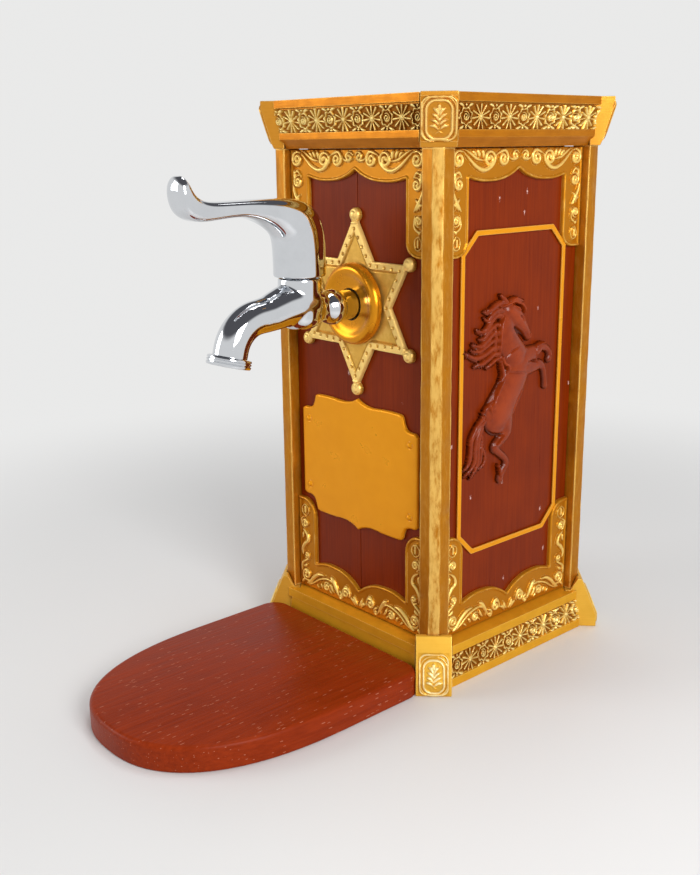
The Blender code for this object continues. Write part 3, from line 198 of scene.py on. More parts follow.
class SharedEffects:
    """The node groups that several finishes share, each built once."""

    _made: dict[str, bpy.types.NodeTree] = {}

    @classmethod
    def edge_wear_and_highlight(cls) -> bpy.types.NodeTree:
        """A mask of sharp edges, for brush wear and a painted highlight along them, broken up where the brush missed
        them.
        """
        if "edge_wear_and_highlight" not in cls._made:
            kit, source, target = new_group(
                "edge_wear_and_highlight", {"Vector": "Vector", "Radius": "Float", "Break": "Float"}, {"Mask": "Float"}
            )
            rounded = kit.add("Bevel", {"Radius": source["Radius"]}, samples=6)
            shape = kit.add("NewGeometry")
            turn = kit.add("VectorMath", {0: rounded.outputs[0], 1: shape.outputs["Normal"]}, operation="DOT_PRODUCT")
            edge = kit.math("MULTIPLY", kit.math("SUBTRACT", 1.0, turn.outputs["Value"]), 26.0, True)
            gaps = kit.math("MULTIPLY", kit.noise(source["Vector"], 210.0), source["Break"])
            worn_and_highlit = kit.math("SUBTRACT", edge, gaps, True)
            kit.tree.links.new(worn_and_highlit, target["Mask"])
            cls._made["edge_wear_and_highlight"] = kit.tree
        return cls._made["edge_wear_and_highlight"]

    @classmethod
    def brushwork(cls) -> bpy.types.NodeTree:
        """Streaks along a direction over soft blotches: a tone and a height."""
        if "brushwork" not in cls._made:
            kit, source, target = new_group(
                "brushwork",
                {"Vector": "Vector", "Stretch": "Vector", "Blotch": "Float", "Share": "Float"},
                {"Tone": "Float", "Height": "Float"},
            )
            lengthened = kit.add("Mapping", {"Vector": source["Vector"], "Scale": source["Stretch"]}).outputs[0]
            streak = kit.noise(lengthened, 1.0, 4.0, 0.6)
            blotch = kit.add("TexNoise", {"Vector": source["Vector"], "Scale": source["Blotch"], "Detail": 4.0}).outputs[0]
            tone = kit.add("Mix", {0: source["Share"], 2: blotch, 3: streak}).outputs[0]
            fine = kit.noise(source["Vector"], 1500.0, 2.0)
            height = kit.math("ADD", kit.math("MULTIPLY", streak, 0.7), kit.math("MULTIPLY", fine, 0.3))
            kit.tree.links.new(kit.step(tone, 0.3, 0.7), target["Tone"])
            kit.tree.links.new(height, target["Height"])
            cls._made["brushwork"] = kit.tree
        return cls._made["brushwork"]

    @classmethod
    def flecks_and_glints(cls) -> bpy.types.NodeTree:
        """Sparse small marks where bare ground shows through the paint, which on glossy paint also stand for painted
        glints.
        """
        if "flecks_and_glints" not in cls._made:
            kit, source, target = new_group(
                "flecks_and_glints", {"Vector": "Vector", "Stretch": "Vector", "Rarity": "Float", "Size": "Float"}, {"Mask": "Float"}
            )
            spread = kit.add("Mapping", {"Vector": source["Vector"], "Scale": source["Stretch"]}).outputs[0]
            cells = kit.add("TexVoronoi", {"Vector": spread, "Scale": 1.0})
            chosen = kit.add("SeparateColor", {0: cells.outputs["Color"]}).outputs[0]
            rare = kit.math("GREATER_THAN", chosen, source["Rarity"])
            uneven = kit.math("MULTIPLY", kit.noise(source["Vector"], 2600.0, 2.0), 0.24)
            near = kit.math("LESS_THAN", kit.math("ADD", cells.outputs["Distance"], uneven), source["Size"])
            kit.tree.links.new(kit.math("MULTIPLY", rare, near), target["Mask"])
            cls._made["flecks_and_glints"] = kit.tree
        return cls._made["flecks_and_glints"]


_MATERIALS: dict[str, bpy.types.Material] = {}


def started_material(name: str) -> tuple[Wiring, bpy.types.Node, bpy.types.NodeSocket]:
    """An empty Principled material.

    Args:
        name: The material's name.

    Returns:
        Its wiring, its Principled node and the Object coordinates.
    """
    material = bpy.data.materials.new(name)
    material.use_nodes = True
    _MATERIALS[name] = material
    kit = Wiring(material.node_tree)
    return kit, material.node_tree.nodes["Principled BSDF"], kit.add("TexCoord").outputs["Object"]


def bump(kit: Wiring, shader: bpy.types.Node, height: bpy.types.NodeSocket, strength: float, depth: float) -> None:
    """Feeds a height into the shader's normal.

    Args:
        kit: The material's wiring.
        shader: Its Principled node.
        height: The height, about 0 to 1.
        strength: The bump's strength.
        depth: What a height of 1 stands for, in millimetres.
    """
    node = kit.add("Bump", {"Strength": strength, "Distance": depth * MM, "Height": height})
    kit.tree.links.new(node.outputs[0], shader.inputs["Normal"])


@dataclass(frozen=True)
class GoldPaint:
    """Metallic gold paint, with painted shade in its recesses, and brighter where it stands proud: dry brushing
    together with a painted highlight.
    """

    name: str
    deep_and_shade: Colour = (0.30, 0.085, 0.003)
    middle: Colour = (0.50, 0.165, 0.0055)
    bright: Colour = (0.90, 0.62, 0.20)
    stretch: Colour = (90.0, 90.0, 1300.0)
    blotch: float = 150.0
    streak_share: float = 0.5
    # With relief, the carved height paints shade into the recesses and a highlight on the tops.
    relief: bool = False
    lift_from: float = 0.42
    lift_to: float = 0.95
    dry: float = 0.0
    # How strongly faces that slant across a corner, the chamfers, get a painted highlight.
    facet: float = 0.0
    # The width of the brighter edges: brush wear together with a painted highlight.
    wear_and_highlight: float = 0.0
    gaps: float = 0.7
    metallic: float = 0.5
    roughness: float = 0.36
    bump_depth: float = 0.05

    def material(self) -> bpy.types.Material:
        """The finish as a material, built once."""
        if self.name in _MATERIALS:
            return _MATERIALS[self.name]
        kit, shader, place = started_material(self.name)
        brush = kit.group(
            SharedEffects.brushwork(),
            {"Vector": place, "Stretch": self.stretch, "Blotch": self.blotch, "Share": self.streak_share},
        )
        tone = brush.outputs["Tone"]
        ground = tuple(0.45 * d + 0.55 * m for d, m in zip(self.deep_and_shade, self.middle))
        colour = kit.blend(tone, ground, self.middle)
        if self.relief:
            # Painted shade: where the relief is low, in recesses, grooves and punched marks, the colour falls to the
            # deep one.
            raised = kit.add("Attribute", attribute_name="raised").outputs["Fac"]
            colour = kit.blend(kit.step(raised, 0.02, 0.3), self.deep_and_shade, colour)
            # Where it stands proud the colour lifts to the bright one: dry brushing together with a painted highlight
            # on the tops.
            proud = kit.math("ADD", raised, kit.math("MULTIPLY", kit.math("SUBTRACT", tone, 0.5), 0.35))
            colour = kit.blend(kit.step(proud, self.lift_from, self.lift_to), colour, self.bright)
        if self.dry > 0:
            scuffed = kit.noise(kit.stretch(place, (620.0, 620.0, 190.0)), 1.0, 6.0, 0.72)
            patch = kit.math("MULTIPLY", kit.step(scuffed, 0.46, 0.66), self.dry)
            colour = kit.blend(patch, colour, self.bright)
        if self.facet > 0:
            # Painted highlight: faces that slant across a corner, the chamfers, are painted brighter, broken up by
            # noise.
            facing = kit.add("SeparateXYZ", {0: kit.add("NewGeometry").outputs["Normal"]}).outputs
            slant = kit.math("ABSOLUTE", kit.math("MULTIPLY", facing["X"], facing["Y"]))
            rubbed_highlight = kit.step(kit.noise(kit.stretch(place, (420.0, 420.0, 120.0)), 1.0, 5.0, 0.7), 0.3, 0.6)
            share = kit.math("MULTIPLY", kit.math("MULTIPLY", kit.step(slant, 0.2, 0.42), rubbed_highlight), self.facet)
            colour = kit.blend(share, colour, self.bright)
        if self.wear_and_highlight > 0:
            # Sharp edges are painted brighter: brush wear together with a painted highlight along them.
            wear_and_highlight = {"Vector": place, "Radius": self.wear_and_highlight * MM, "Break": self.gaps}
            edge = kit.group(SharedEffects.edge_wear_and_highlight(), wear_and_highlight)
            colour = kit.blend(edge.outputs["Mask"], colour, self.bright)
        kit.tree.links.new(colour, shader.inputs["Base Color"])
        shader.inputs["Metallic"].default_value = self.metallic
        shader.inputs["Specular IOR Level"].default_value = 0.1
        rough = kit.math("ADD", kit.math("MULTIPLY", tone, -0.12), self.roughness + 0.06)
        kit.tree.links.new(rough, shader.inputs["Roughness"])
        bump(kit, shader, brush.outputs["Height"], 0.6, self.bump_depth)
        return _MATERIALS[self.name]


@dataclass(frozen=True)
class RedPaint:
    """Red-brown gloss paint over grain, with small pale marks that lie in patches: bare ground showing through, and on
    the panels painted glints; carvings can take painted shade in their hollows.
    """

    name: str
    dark: Colour = (0.160, 0.0160, 0.0009)
    light: Colour = (0.235, 0.0270, 0.0012)
    # The strength of painted shade in a carving's hollows, with a painted highlight on its highest tips.
    hollow_shade: float = 0.0
    # The colour of the pale marks: bare ground, and on the panels painted glints.
    fleck_and_glint: Colour = (0.62, 0.40, 0.36)
    stretch: Colour = (1500.0, 1500.0, 38.0)
    fleck_stretch: Colour = (150.0, 150.0, 62.0)
    rarity: float = 0.93
    patches: float = 0.0
    fleck_size: float = 0.175
    roughness: float = 0.32
    gloss: float = 0.1
    bump_depth: float = 0.06

    def material(self) -> bpy.types.Material:
        """The finish as a material, built once."""
        if self.name in _MATERIALS:
            return _MATERIALS[self.name]
        kit, shader, place = started_material(self.name)
        brush = kit.group(
            SharedEffects.brushwork(), {"Vector": place, "Stretch": self.stretch, "Blotch": 34.0, "Share": 0.6}
        )
        colour = kit.blend(brush.outputs["Tone"], self.dark, self.light)
        spread = kit.math("MULTIPLY", kit.math("SUBTRACT", kit.noise(place, 42.0, 4.0, 0.6), 0.5), self.patches)
        flecks_and_glints = kit.group(
            SharedEffects.flecks_and_glints(),
            {"Vector": place, "Stretch": self.fleck_stretch, "Rarity": kit.math("SUBTRACT", self.rarity, spread),
             "Size": self.fleck_size},
        )
        # Pale marks of bare ground, which on the glossy panels also stand for painted glints.
        colour = kit.blend(flecks_and_glints.outputs["Mask"], colour, self.fleck_and_glint)
        if self.hollow_shade > 0:
            # Painted shade: the carving's low parts darken to a deep red as if shadowed, and a painted highlight
            # lightens its highest tips.
            raised = kit.add("Attribute", attribute_name="raised").outputs["Fac"]
            shaded_hollows = kit.math("MULTIPLY", kit.math("SUBTRACT", 1.0, kit.step(raised, 0.12, 0.5)), self.hollow_shade)
            colour = kit.blend(shaded_hollows, colour, tuple(0.16 * c for c in self.dark))
            lit_tips = kit.math("MULTIPLY", kit.step(raised, 0.62, 0.95), 0.5)
            colour = kit.blend(lit_tips, colour, tuple(1.45 * c for c in self.light))
        kit.tree.links.new(colour, shader.inputs["Base Color"])
        shader.inputs["Specular IOR Level"].default_value = self.gloss
        rough = kit.math("ADD", kit.math("MULTIPLY", brush.outputs["Tone"], 0.14), self.roughness - 0.05)
        kit.tree.links.new(rough, shader.inputs["Roughness"])
        bump(kit, shader, brush.outputs["Height"], 0.7, self.bump_depth)
        return _MATERIALS[self.name]


@dataclass(frozen=True)
class Metal:
    """Plated or plain metal with faint polishing marks."""

    name: str
    colour: Colour = (0.74, 0.76, 0.79)
    roughness: float = 0.05
    marks: float = 0.05
    bump_depth: float = 0.002

    def material(self) -> bpy.types.Material:
        """The finish as a material, built once."""
        if self.name in _MATERIALS:
            return _MATERIALS[self.name]
        kit, shader, place = started_material(self.name)
        haze = kit.noise(place, 130.0, 5.0, 0.6)
        dull = tuple(0.86 * c for c in self.colour)
        kit.tree.links.new(kit.blend(haze, self.colour, dull), shader.inputs["Base Color"])
        shader.inputs["Metallic"].default_value = 1.0
        rough = kit.math("ADD", kit.math("MULTIPLY", kit.step(haze, 0.45, 0.8), self.marks), self.roughness)
        kit.tree.links.new(rough, shader.inputs["Roughness"])
        bump(kit, shader, kit.noise(place, 420.0, 3.0), 0.25, self.bump_depth)
        return _MATERIALS[self.name]


@dataclass(frozen=True)
class Moulded:
    """Plain moulded rubber or plastic with a fine skin texture."""

    name: str
    colour: Colour
    roughness: float = 0.6

    def material(self) -> bpy.types.Material:
        """The finish as a material, built once."""
        if self.name in _MATERIALS:
            return _MATERIALS[self.name]
        kit, shader, place = started_material(self.name)
        skin = kit.noise(place, 900.0, 3.0)
        darker = tuple(0.7 * c for c in self.colour)
        kit.tree.links.new(kit.blend(skin, darker, self.colour), shader.inputs["Base Color"])
        rough = kit.math("ADD", kit.math("MULTIPLY", skin, 0.15), self.roughness - 0.07)
        kit.tree.links.new(rough, shader.inputs["Roughness"])
        bump(kit, shader, skin, 0.4, 0.03)
        return _MATERIALS[self.name]


RAIL_GOLD = GoldPaint("gold_rails", middle=(0.54, 0.185, 0.0055), bright=(0.86, 0.50, 0.10), wear_and_highlight=0.5)
BASE_GOLD = GoldPaint(
    "gold_base", middle=(0.80, 0.40, 0.020), deep_and_shade=(0.60, 0.25, 0.010), bright=(0.92, 0.60, 0.14), wear_and_highlight=0.5, metallic=0.35,
)
BASE_BLOCK_GOLD = GoldPaint(
    "gold_base_blocks", middle=(0.82, 0.46, 0.055), deep_and_shade=(0.68, 0.34, 0.030), bright=(0.92, 0.66, 0.22), wear_and_highlight=0.5,
    metallic=0.35,
)
CROWN_BLOCK_GOLD = GoldPaint(
    "gold_crown_blocks", middle=(0.62, 0.27, 0.028), deep_and_shade=(0.48, 0.18, 0.012), bright=(0.92, 0.62, 0.19), wear_and_highlight=0.5,
)
CROWN_MEDAL_GOLD = GoldPaint(
    "gold_crown_medallions", relief=True, middle=(0.62, 0.27, 0.028), deep_and_shade=(0.48, 0.18, 0.012),
    bright=(0.92, 0.62, 0.19), blotch=320.0, streak_share=0.2, lift_from=0.3, lift_to=0.8, wear_and_highlight=0.3,
)
BASE_MEDAL_GOLD = GoldPaint(
    "gold_base_medallions", relief=True, middle=(0.80, 0.46, 0.060), deep_and_shade=(0.66, 0.33, 0.030),
    bright=(0.95, 0.76, 0.36), blotch=320.0, streak_share=0.2, lift_from=0.3, lift_to=0.8, metallic=0.35,
)
POST_GOLD = GoldPaint(
    "gold_posts", middle=(0.50, 0.185, 0.008), deep_and_shade=(0.35, 0.115, 0.005), bright=(0.90, 0.58, 0.15),
    stretch=(900.0, 900.0, 60.0), blotch=200.0, streak_share=0.5, dry=0.1, facet=0.7, wear_and_highlight=1.2, gaps=0.3,
    bump_depth=0.09,
)
RELIEF_GOLD = GoldPaint(
    "gold_ornament", relief=True, deep_and_shade=(0.30, 0.10, 0.005), middle=(0.66, 0.34, 0.045),
    bright=(0.96, 0.74, 0.27), blotch=240.0, lift_from=0.3, lift_to=0.8,
)
FRAME_GOLD = GoldPaint(
    "gold_frames", relief=True, deep_and_shade=(0.50, 0.185, 0.007), middle=(0.58, 0.235, 0.011),
    bright=(0.92, 0.63, 0.17), stretch=(500.0, 500.0, 160.0), lift_from=0.36, lift_to=0.85, wear_and_highlight=0.4,
)
BADGE_GOLD = GoldPaint(
    "gold_badge", relief=True, deep_and_shade=(0.48, 0.23, 0.030), middle=(0.74, 0.43, 0.080), bright=(0.92, 0.62, 0.19),
    blotch=320.0, streak_share=0.2, wear_and_highlight=0.35,
)
SMOOTH_GOLD = GoldPaint(
    "gold_smooth", middle=(0.84, 0.33, 0.009), deep_and_shade=(0.76, 0.28, 0.006), stretch=(40.0, 40.0, 70.0), wear_and_highlight=0.45,
    metallic=0.3, roughness=0.32, bump_depth=0.03,
)
RING_GOLD = GoldPaint(
    "gold_ring", middle=(0.68, 0.27, 0.012), deep_and_shade=(0.55, 0.19, 0.006), stretch=(60.0, 60.0, 60.0),
    metallic=0.7, roughness=0.24, bump_depth=0.02,
)
PANEL_RED = RedPaint("red_panels")
HORSE_RED = RedPaint(
    "red_relief", dark=(0.200, 0.0220, 0.0020), light=(0.275, 0.0360, 0.0040), stretch=(260.0, 260.0, 260.0),
    rarity=0.985, roughness=0.2, gloss=0.22, hollow_shade=0.8, bump_depth=0.02,
)
TRAY_RED = RedPaint(
    "red_tray", dark=(0.215, 0.0205, 0.0018), light=(0.310, 0.0330, 0.0036), fleck_and_glint=(0.46, 0.15, 0.085),
    stretch=(700.0, 34.0, 700.0), fleck_stretch=(1000.0, 170.0, 1000.0), rarity=0.62, patches=1.3,
    fleck_size=0.29, roughness=0.36, bump_depth=0.24,
)
CHROME = Metal("chrome_plate")
STEEL = Metal("plain_steel", (0.42, 0.42, 0.44), 0.28, 0.2, 0.01)
RUBBER = Moulded("black_rubber", (0.018, 0.018, 0.018))
TANK_PLASTIC = Moulded("tank_plastic", (0.68, 0.72, 0.74), 0.3)


# ---- Modelling tools


def start_clean() -> None:
    """Leaves edit mode and deselects everything."""
    if bpy.context.object and bpy.context.object.mode != "OBJECT":
        bpy.ops.object.mode_set(mode="OBJECT")
    bpy.ops.object.select_all(action="DESELECT")


def finish_piece(piece: bpy.types.Object, finish, body: Body, replaced: Sequence[str] = ()) -> bpy.types.Object:
    """Gives a piece its material and its body, and hides the CAD nodes that it stands for.

    Args:
        piece: The piece, with its place in its mesh.
        finish: What makes its material.
        body: The body that it rides on.
        replaced: The CAD nodes that it replaces.

    Returns:
        The piece.
    """
    piece.data.materials.clear()
    piece.data.materials.append(finish.material())
    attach(piece, body.value)
    if replaced:
        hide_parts(*replaced)
    LOG.info("%s: %d faces on %s", piece.name, len(piece.data.polygons), body.value)
    return piece


def apply_modifiers(piece: bpy.types.Object) -> None:
    """Applies all of a piece's modifiers in order."""
    bpy.context.view_layer.objects.active = piece
    for modifier in list(piece.modifiers):
        bpy.ops.object.modifier_apply(modifier=modifier.name)


def smooth(piece: bpy.types.Object, angle: float = 40.0) -> None:
    """Shades a piece smooth except across edges sharper than an angle in degrees."""
    start_clean()
    piece.select_set(True)
    bpy.context.view_layer.objects.active = piece
    bpy.ops.object.shade_smooth_by_angle(angle=math.radians(angle))


def normals_out(piece: bpy.types.Object) -> None:
    """Merges doubled points and turns every face of a closed piece outwards."""
    start_clean()
    piece.select_set(True)
    bpy.context.view_layer.objects.active = piece
    bpy.ops.object.mode_set(mode="EDIT")
    bpy.ops.mesh.select_all(action="SELECT")
    bpy.ops.mesh.remove_doubles(threshold=0.000002)
    bpy.ops.mesh.normals_make_consistent(inside=False)
    bpy.ops.object.mode_set(mode="OBJECT")


def loft(name: str, rings: Sequence[np.ndarray], close: bool = True) -> bpy.types.Object:
    """A skin drawn through rings of points, from a circle that is extruded ring by ring.

    Args:
        name: The piece's name.
        rings: Arrays of points in millimetres, all of one length.
        close: Whether the two ends are filled.

    Returns:
        The piece, unfinished.
    """
    start_clean()
    count = len(rings[0])
    bpy.ops.mesh.primitive_circle_add(vertices=count, radius=1.0, fill_type="NOTHING")
    piece = bpy.context.object
    piece.name = piece.data.name = name
    bpy.ops.object.mode_set(mode="EDIT")
    bpy.ops.mesh.select_all(action="SELECT")
    for _ in rings[1:]:
        bpy.ops.mesh.extrude_edges_move()
    bpy.ops.object.mode_set(mode="OBJECT")
    piece.data.vertices.foreach_set("co", (np.concatenate(rings) * MM).astype(np.float32).ravel())
    piece.data.update()
    if close:
        fill_ends(piece)
    normals_out(piece)
    return piece


def fill_ends(piece: bpy.types.Object) -> None:
    """Fills every open rim of a piece with one face."""
    start_clean()
    piece.select_set(True)
    bpy.context.view_layer.objects.active = piece
    bpy.ops.object.mode_set(mode="EDIT")
    bpy.ops.mesh.select_all(action="SELECT")
    bpy.ops.mesh.fill_holes(sides=0)
    bpy.ops.object.mode_set(mode="OBJECT")


def circle_points(radius: float, count: int, start: float = 0.0) -> np.ndarray:
    """Points on a circle in the XY plane, one row each, counted from an angle in degrees."""
    turn = np.radians(start) + 2 * np.pi * np.arange(count) / count
    return np.stack([radius * np.cos(turn), radius * np.sin(turn), np.zeros(count)], 1)


def turned(
    name: str, profile: Sequence[Point], axis: Matrix, count: int = 64, close: bool = True
) -> bpy.types.Object:
    """A solid of rings along an axis.

    Args:
        name: The piece's name.
        profile: Radius and distance along the axis, from one end to the other.
        axis: Takes local Z to the axis, in millimetres.
        count: Points in each ring.
        close: Whether the ends are filled. A profile that comes back to its start needs none.

    Returns:
        The piece, unfinished.
    """
    spin = np.array(axis)
    rings = []
    for radius, along in profile:
        ring = circle_points(max(radius, 0.004), count) + np.array([0, 0, along])
        rings.append(ring @ spin[:3, :3].T + spin[:3, 3])
    return loft(name, rings, close)


def eased_copy(node: str, name: str, width: float, segments: int = 2, angle: float = 25.0) -> bpy.types.Object:
    """A copy of a CAD node with its edges rounded.

    Args:
        node: The CAD node.
        name: The new piece's name.
        width: The rounding's width in millimetres.
        segments: Faces across the rounding.
        angle: Edges sharper than this many degrees are rounded.

    Returns:
        The piece, unfinished.
    """
    start_clean()
    piece = bpy.data.objects.new(name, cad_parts[node].data.copy())
    piece.data.name = name
    bpy.context.scene.collection.objects.link(piece)
    piece.select_set(True)
    bpy.context.view_layer.objects.active = piece
    bpy.ops.object.mode_set(mode="EDIT")
    bpy.ops.mesh.select_all(action="SELECT")
    bpy.ops.mesh.remove_doubles(threshold=0.00001)
    bpy.ops.mesh.dissolve_limited(angle_limit=math.radians(0.5))
    bpy.ops.mesh.normals_make_consistent(inside=False)
    bpy.ops.object.mode_set(mode="OBJECT")
    piece.data.attributes.remove(piece.data.attributes["custom_normal"]) if "custom_normal" in piece.data.attributes else None
    bevel = piece.modifiers.new("eased", "BEVEL")
    bevel.width = width * MM
    bevel.segments = segments
    bevel.limit_method = "ANGLE"
    bevel.angle_limit = math.radians(angle)
    bevel.use_clamp_overlap = True
    apply_modifiers(piece)
    smooth(piece, 35.0)
    level = piece.modifiers.new("level", "WEIGHTED_NORMAL")
    level.keep_sharp = True
    level.weight = 90
    apply_modifiers(piece)
    return piece


def wall_frame(angle: float, reach: float) -> np.ndarray:
    """Columns right, up and out of a wall, and its origin, as a 4 by 4 array in millimetres."""
    out = np.array([math.cos(math.radians(angle)), math.sin(math.radians(angle)), 0.0])
    up = np.array([0.0, 0.0, 1.0])
    matrix = np.eye(4)
    matrix[:3, 0] = np.cross(up, out)
    matrix[:3, 1] = up
    matrix[:3, 2] = out
    matrix[:3, 3] = out * reach
    return matrix


def on_wall(side: Side, reach: float, flip: bool = False) -> Placing:
    """Places points given as right, up and out on a wall.

    Args:
        side: The cabinet's side.
        reach: The distance from the cabinet's axis to height 0.
        flip: Whether left and right are exchanged.

    Returns:
        A function from the three arrays to points in millimetres.
    """
    matrix = wall_frame(side.value, reach)

    def place(across: np.ndarray, up: np.ndarray, out: np.ndarray) -> np.ndarray:
        """Points on the wall."""
        local = np.stack([-across if flip else across, up, out], 1)
        return local @ matrix[:3, :3].T + matrix[:3, 3]

    return place


def smooth_line(points: Sequence[Point], steps: int = 6) -> np.ndarray:
    """A Catmull-Rom line through points.

    Args:
        points: The points in order.
        steps: Pieces between two points.

    Returns:
        One row for each point of the line.
    """
    given = np.array([points[0], *points, points[-1]], float)
    rows = []
    for index in range(1, len(given) - 2):
        before, start, end, after = given[index - 1 : index + 3]
        for share in np.arange(steps) / steps:
            rows.append(
                0.5 * (
                    2 * start + (end - before) * share
                    + (2 * before - 5 * start + 4 * end - after) * share**2
                    + (3 * start - before - 3 * end + after) * share**3
                )
            )
    rows.append(given[-1])
    return np.array(rows)


def curl_line(centre: Point, radius: float, start: float, turn: float, tight: float = 0.22) -> np.ndarray:
    """A spiral that winds in.

    Args:
        centre: Its middle.
        radius: Its outer radius.
        start: The angle of its outer end, in degrees.
        turn: How far it winds in degrees, negative for clockwise.
        tight: The inner radius as a share of the outer one.

    Returns:
        One row for each point, from the outer end in.
    """
    share = np.linspace(0, 1, max(8, int(abs(turn) / 18)))
    angle = np.radians(start + turn * share)
    reach = radius * (1 - (1 - tight) * share)
    return np.stack([centre[0] + reach * np.cos(angle), centre[1] + reach * np.sin(angle)], 1)


def outline_distance(outline: Sequence[Point], across: np.ndarray, up: np.ndarray, closed: bool = True) -> np.ndarray:
    """The distance from each point of a grid to an outline, negative inside a closed one.

    Args:
        outline: The outline's corners in order.
        across: The grid's first coordinates.
        up: The grid's second coordinates.
        closed: Whether the last corner joins the first.

    Returns:
        The distances.
    """
    near = np.full(across.shape, np.inf)
    inside = np.zeros(across.shape, bool)
    corners = np.array(outline, float)
    ends = np.roll(corners, -1, axis=0)
    if not closed:
        corners, ends = corners[:-1], ends[:-1]
    for (ax, ay), (bx, by) in zip(corners, ends):
        length = (bx - ax) ** 2 + (by - ay) ** 2
        if length == 0:
            continue
        share = np.clip(((across - ax) * (bx - ax) + (up - ay) * (by - ay)) / length, 0, 1)
        near = np.minimum(near, np.hypot(across - ax - share * (bx - ax), up - ay - share * (by - ay)))
        if ay != by:
            inside ^= ((ay > up) != (by > up)) & (across < (bx - ax) * (up - ay) / (by - ay) + ax)
    return np.where(inside, -near, near) if closed else near


class Carving:
    """A carved relief: a grid of heights that ridges, leaves and domes are worked into."""

    def __init__(self, low: Point, high: Point, step: float, ground: float) -> None:
        """Lays out the grid.

        Args:
            low: Its lower left corner in millimetres.
            high: Its upper right corner.
            step: About the distance between points.
            ground: The height that it starts with.
        """
        self.counts = [max(2, int(round((b - a) / step)) + 1) for a, b in zip(low, high)]
        self.lines = [np.linspace(a, b, n) for a, b, n in zip(low, high, self.counts)]
        self.across, self.up = np.meshgrid(*self.lines, indexing="ij")
        self.ground = np.full(self.across.shape, float(ground))
        self.relief = np.zeros(self.across.shape)
        self.step = step

    def window(self, low: np.ndarray, high: np.ndarray) -> tuple[slice, slice]:
        """The part of the grid between two corners."""
        cuts = []
        for line, a, b in zip(self.lines, low, high):
            cuts.append(slice(int(np.searchsorted(line, a)), int(np.searchsorted(line, b)) + 1))
        return cuts[0], cuts[1]

    def ridge(
        self, line: Sequence[Point], width: float, height: float,
        taper: Sequence[float] = (0.45, 1.0, 0.35), smoothed: bool = True, groove: float = 0.0,
    ) -> None:
        """Raises a rounded ridge along a line.

        Args:
            line: The points that it follows.
            width: Half its width in the middle.
            height: Its height in the middle.
            taper: Shares of the width along it, at even distances.
            smoothed: Whether a smooth line is drawn through the points first.
            groove: The depth of a vein along its crest.
        """
        route = smooth_line(line) if smoothed and len(line) > 2 else np.array(line, float)
        share = np.linspace(0, 1, len(route))
        widths = width * np.interp(share, np.linspace(0, 1, len(taper)), taper)
        for start, end, first, last in zip(route[:-1], route[1:], widths[:-1], widths[1:]):
            wide = max(first, last)
            cut = self.window(np.minimum(start, end) - wide, np.maximum(start, end) + wide)
            across, up = self.across[cut], self.up[cut]
            if across.size == 0:
                continue
            run = end - start
            along = ((across - start[0]) * run[0] + (up - start[1]) * run[1]) / max(run @ run, 1e-9)
            along = np.clip(along, 0, 1)
            away = np.hypot(across - start[0] - along * run[0], up - start[1] - along * run[1])
            reach = np.maximum(first + along * (last - first), 0.02)
            ratio = np.clip(1 - (away / reach) ** 2, 0, 1)
            lift = height * (0.45 + 0.55 * np.minimum(reach / width, 1))
            rise = lift * np.sqrt(ratio) - groove * np.exp(-((away / (0.22 * reach)) ** 2))
            self.relief[cut] = np.maximum(self.relief[cut], np.where(ratio > 0, rise, 0))

    def curl(self, centre: Point, radius: float, start: float, turn: float, width: float, height: float) -> None:
        """Raises a spiral with a bead at its eye."""
        line = curl_line(centre, radius, start, turn)
        self.ridge(line, width, height, (0.6, 1.0, 0.9, 0.8), smoothed=False)
        self.dome(line[-1], width * 1.35, height * 1.1)

    def leaf(self, root: Point, tip: Point, width: float, height: float, bend: float = 0.0) -> None:
        """Raises a pointed leaf with a vein, bent sideways by a share of its length."""
        start, end = np.array(root, float), np.array(tip, float)
        side = np.array([start[1] - end[1], end[0] - start[0]])
        middle = (start + end) / 2 + side * bend
        self.ridge([tuple(start), tuple(middle), tuple(end)], width, height, (0.35, 0.95, 1.0, 0.12), groove=height * 0.18)

    def dome(self, centre: Point, radius: float, height: float) -> None:
        """Raises a round bead."""
        away = np.hypot(self.across - centre[0], self.up - centre[1])
        ratio = np.clip(1 - (away / radius) ** 2, 0, 1)
        self.relief = np.maximum(self.relief, height * np.sqrt(ratio))

    def mirror(self) -> None:
        """Copies the relief of either half on to the other, about the middle line."""
        self.relief = np.maximum(self.relief, self.relief[::-1])

    def sheet(
        self, name: str, place: Placing, foot: float, outline: np.ndarray | None = None, full: float | None = None,
        pierced: bool = False,
    ) -> bpy.types.Object:
        """Makes the carving a closed solid.

        Args:
            name: The piece's name.
            place: Takes across, up and height to points in millimetres.
            foot: The height of its flat back.
            outline: Distances to its outline, negative inside. None keeps the whole grid.
            full: The relief that counts as fully raised. None takes the highest.
            pierced: Whether it has holes, so that its back is a copy of its front.

        Returns:
            The piece, unfinished.
        """
        start_clean()
        columns, rows = self.counts
        bpy.ops.mesh.primitive_grid_add(x_subdivisions=columns - 1, y_subdivisions=rows - 1, size=2.0)
        piece = bpy.context.object
        piece.name = piece.data.name = name
        mesh = piece.data
        first, second = self._indices(mesh)
        if outline is not None:
            outside = outline[first, second] > 0.7 * self.step
            self._delete(piece, outside)
            first, second = self._indices(mesh)
        height = self.ground + self.relief
        co = np.stack([self.across[first, second], self.up[first, second], height[first, second]], 1)
        if outline is not None:
            rim = rim_points(mesh)
            slope = np.gradient(outline, *self.lines)
            gap = np.clip(outline[first[rim], second[rim]], -1.6 * self.step, 1.6 * self.step)
            for axis in (0, 1):
                co[rim, axis] -= gap * slope[axis][first[rim], second[rim]]
        top = full or max(float(self.relief.max()), 1e-6)
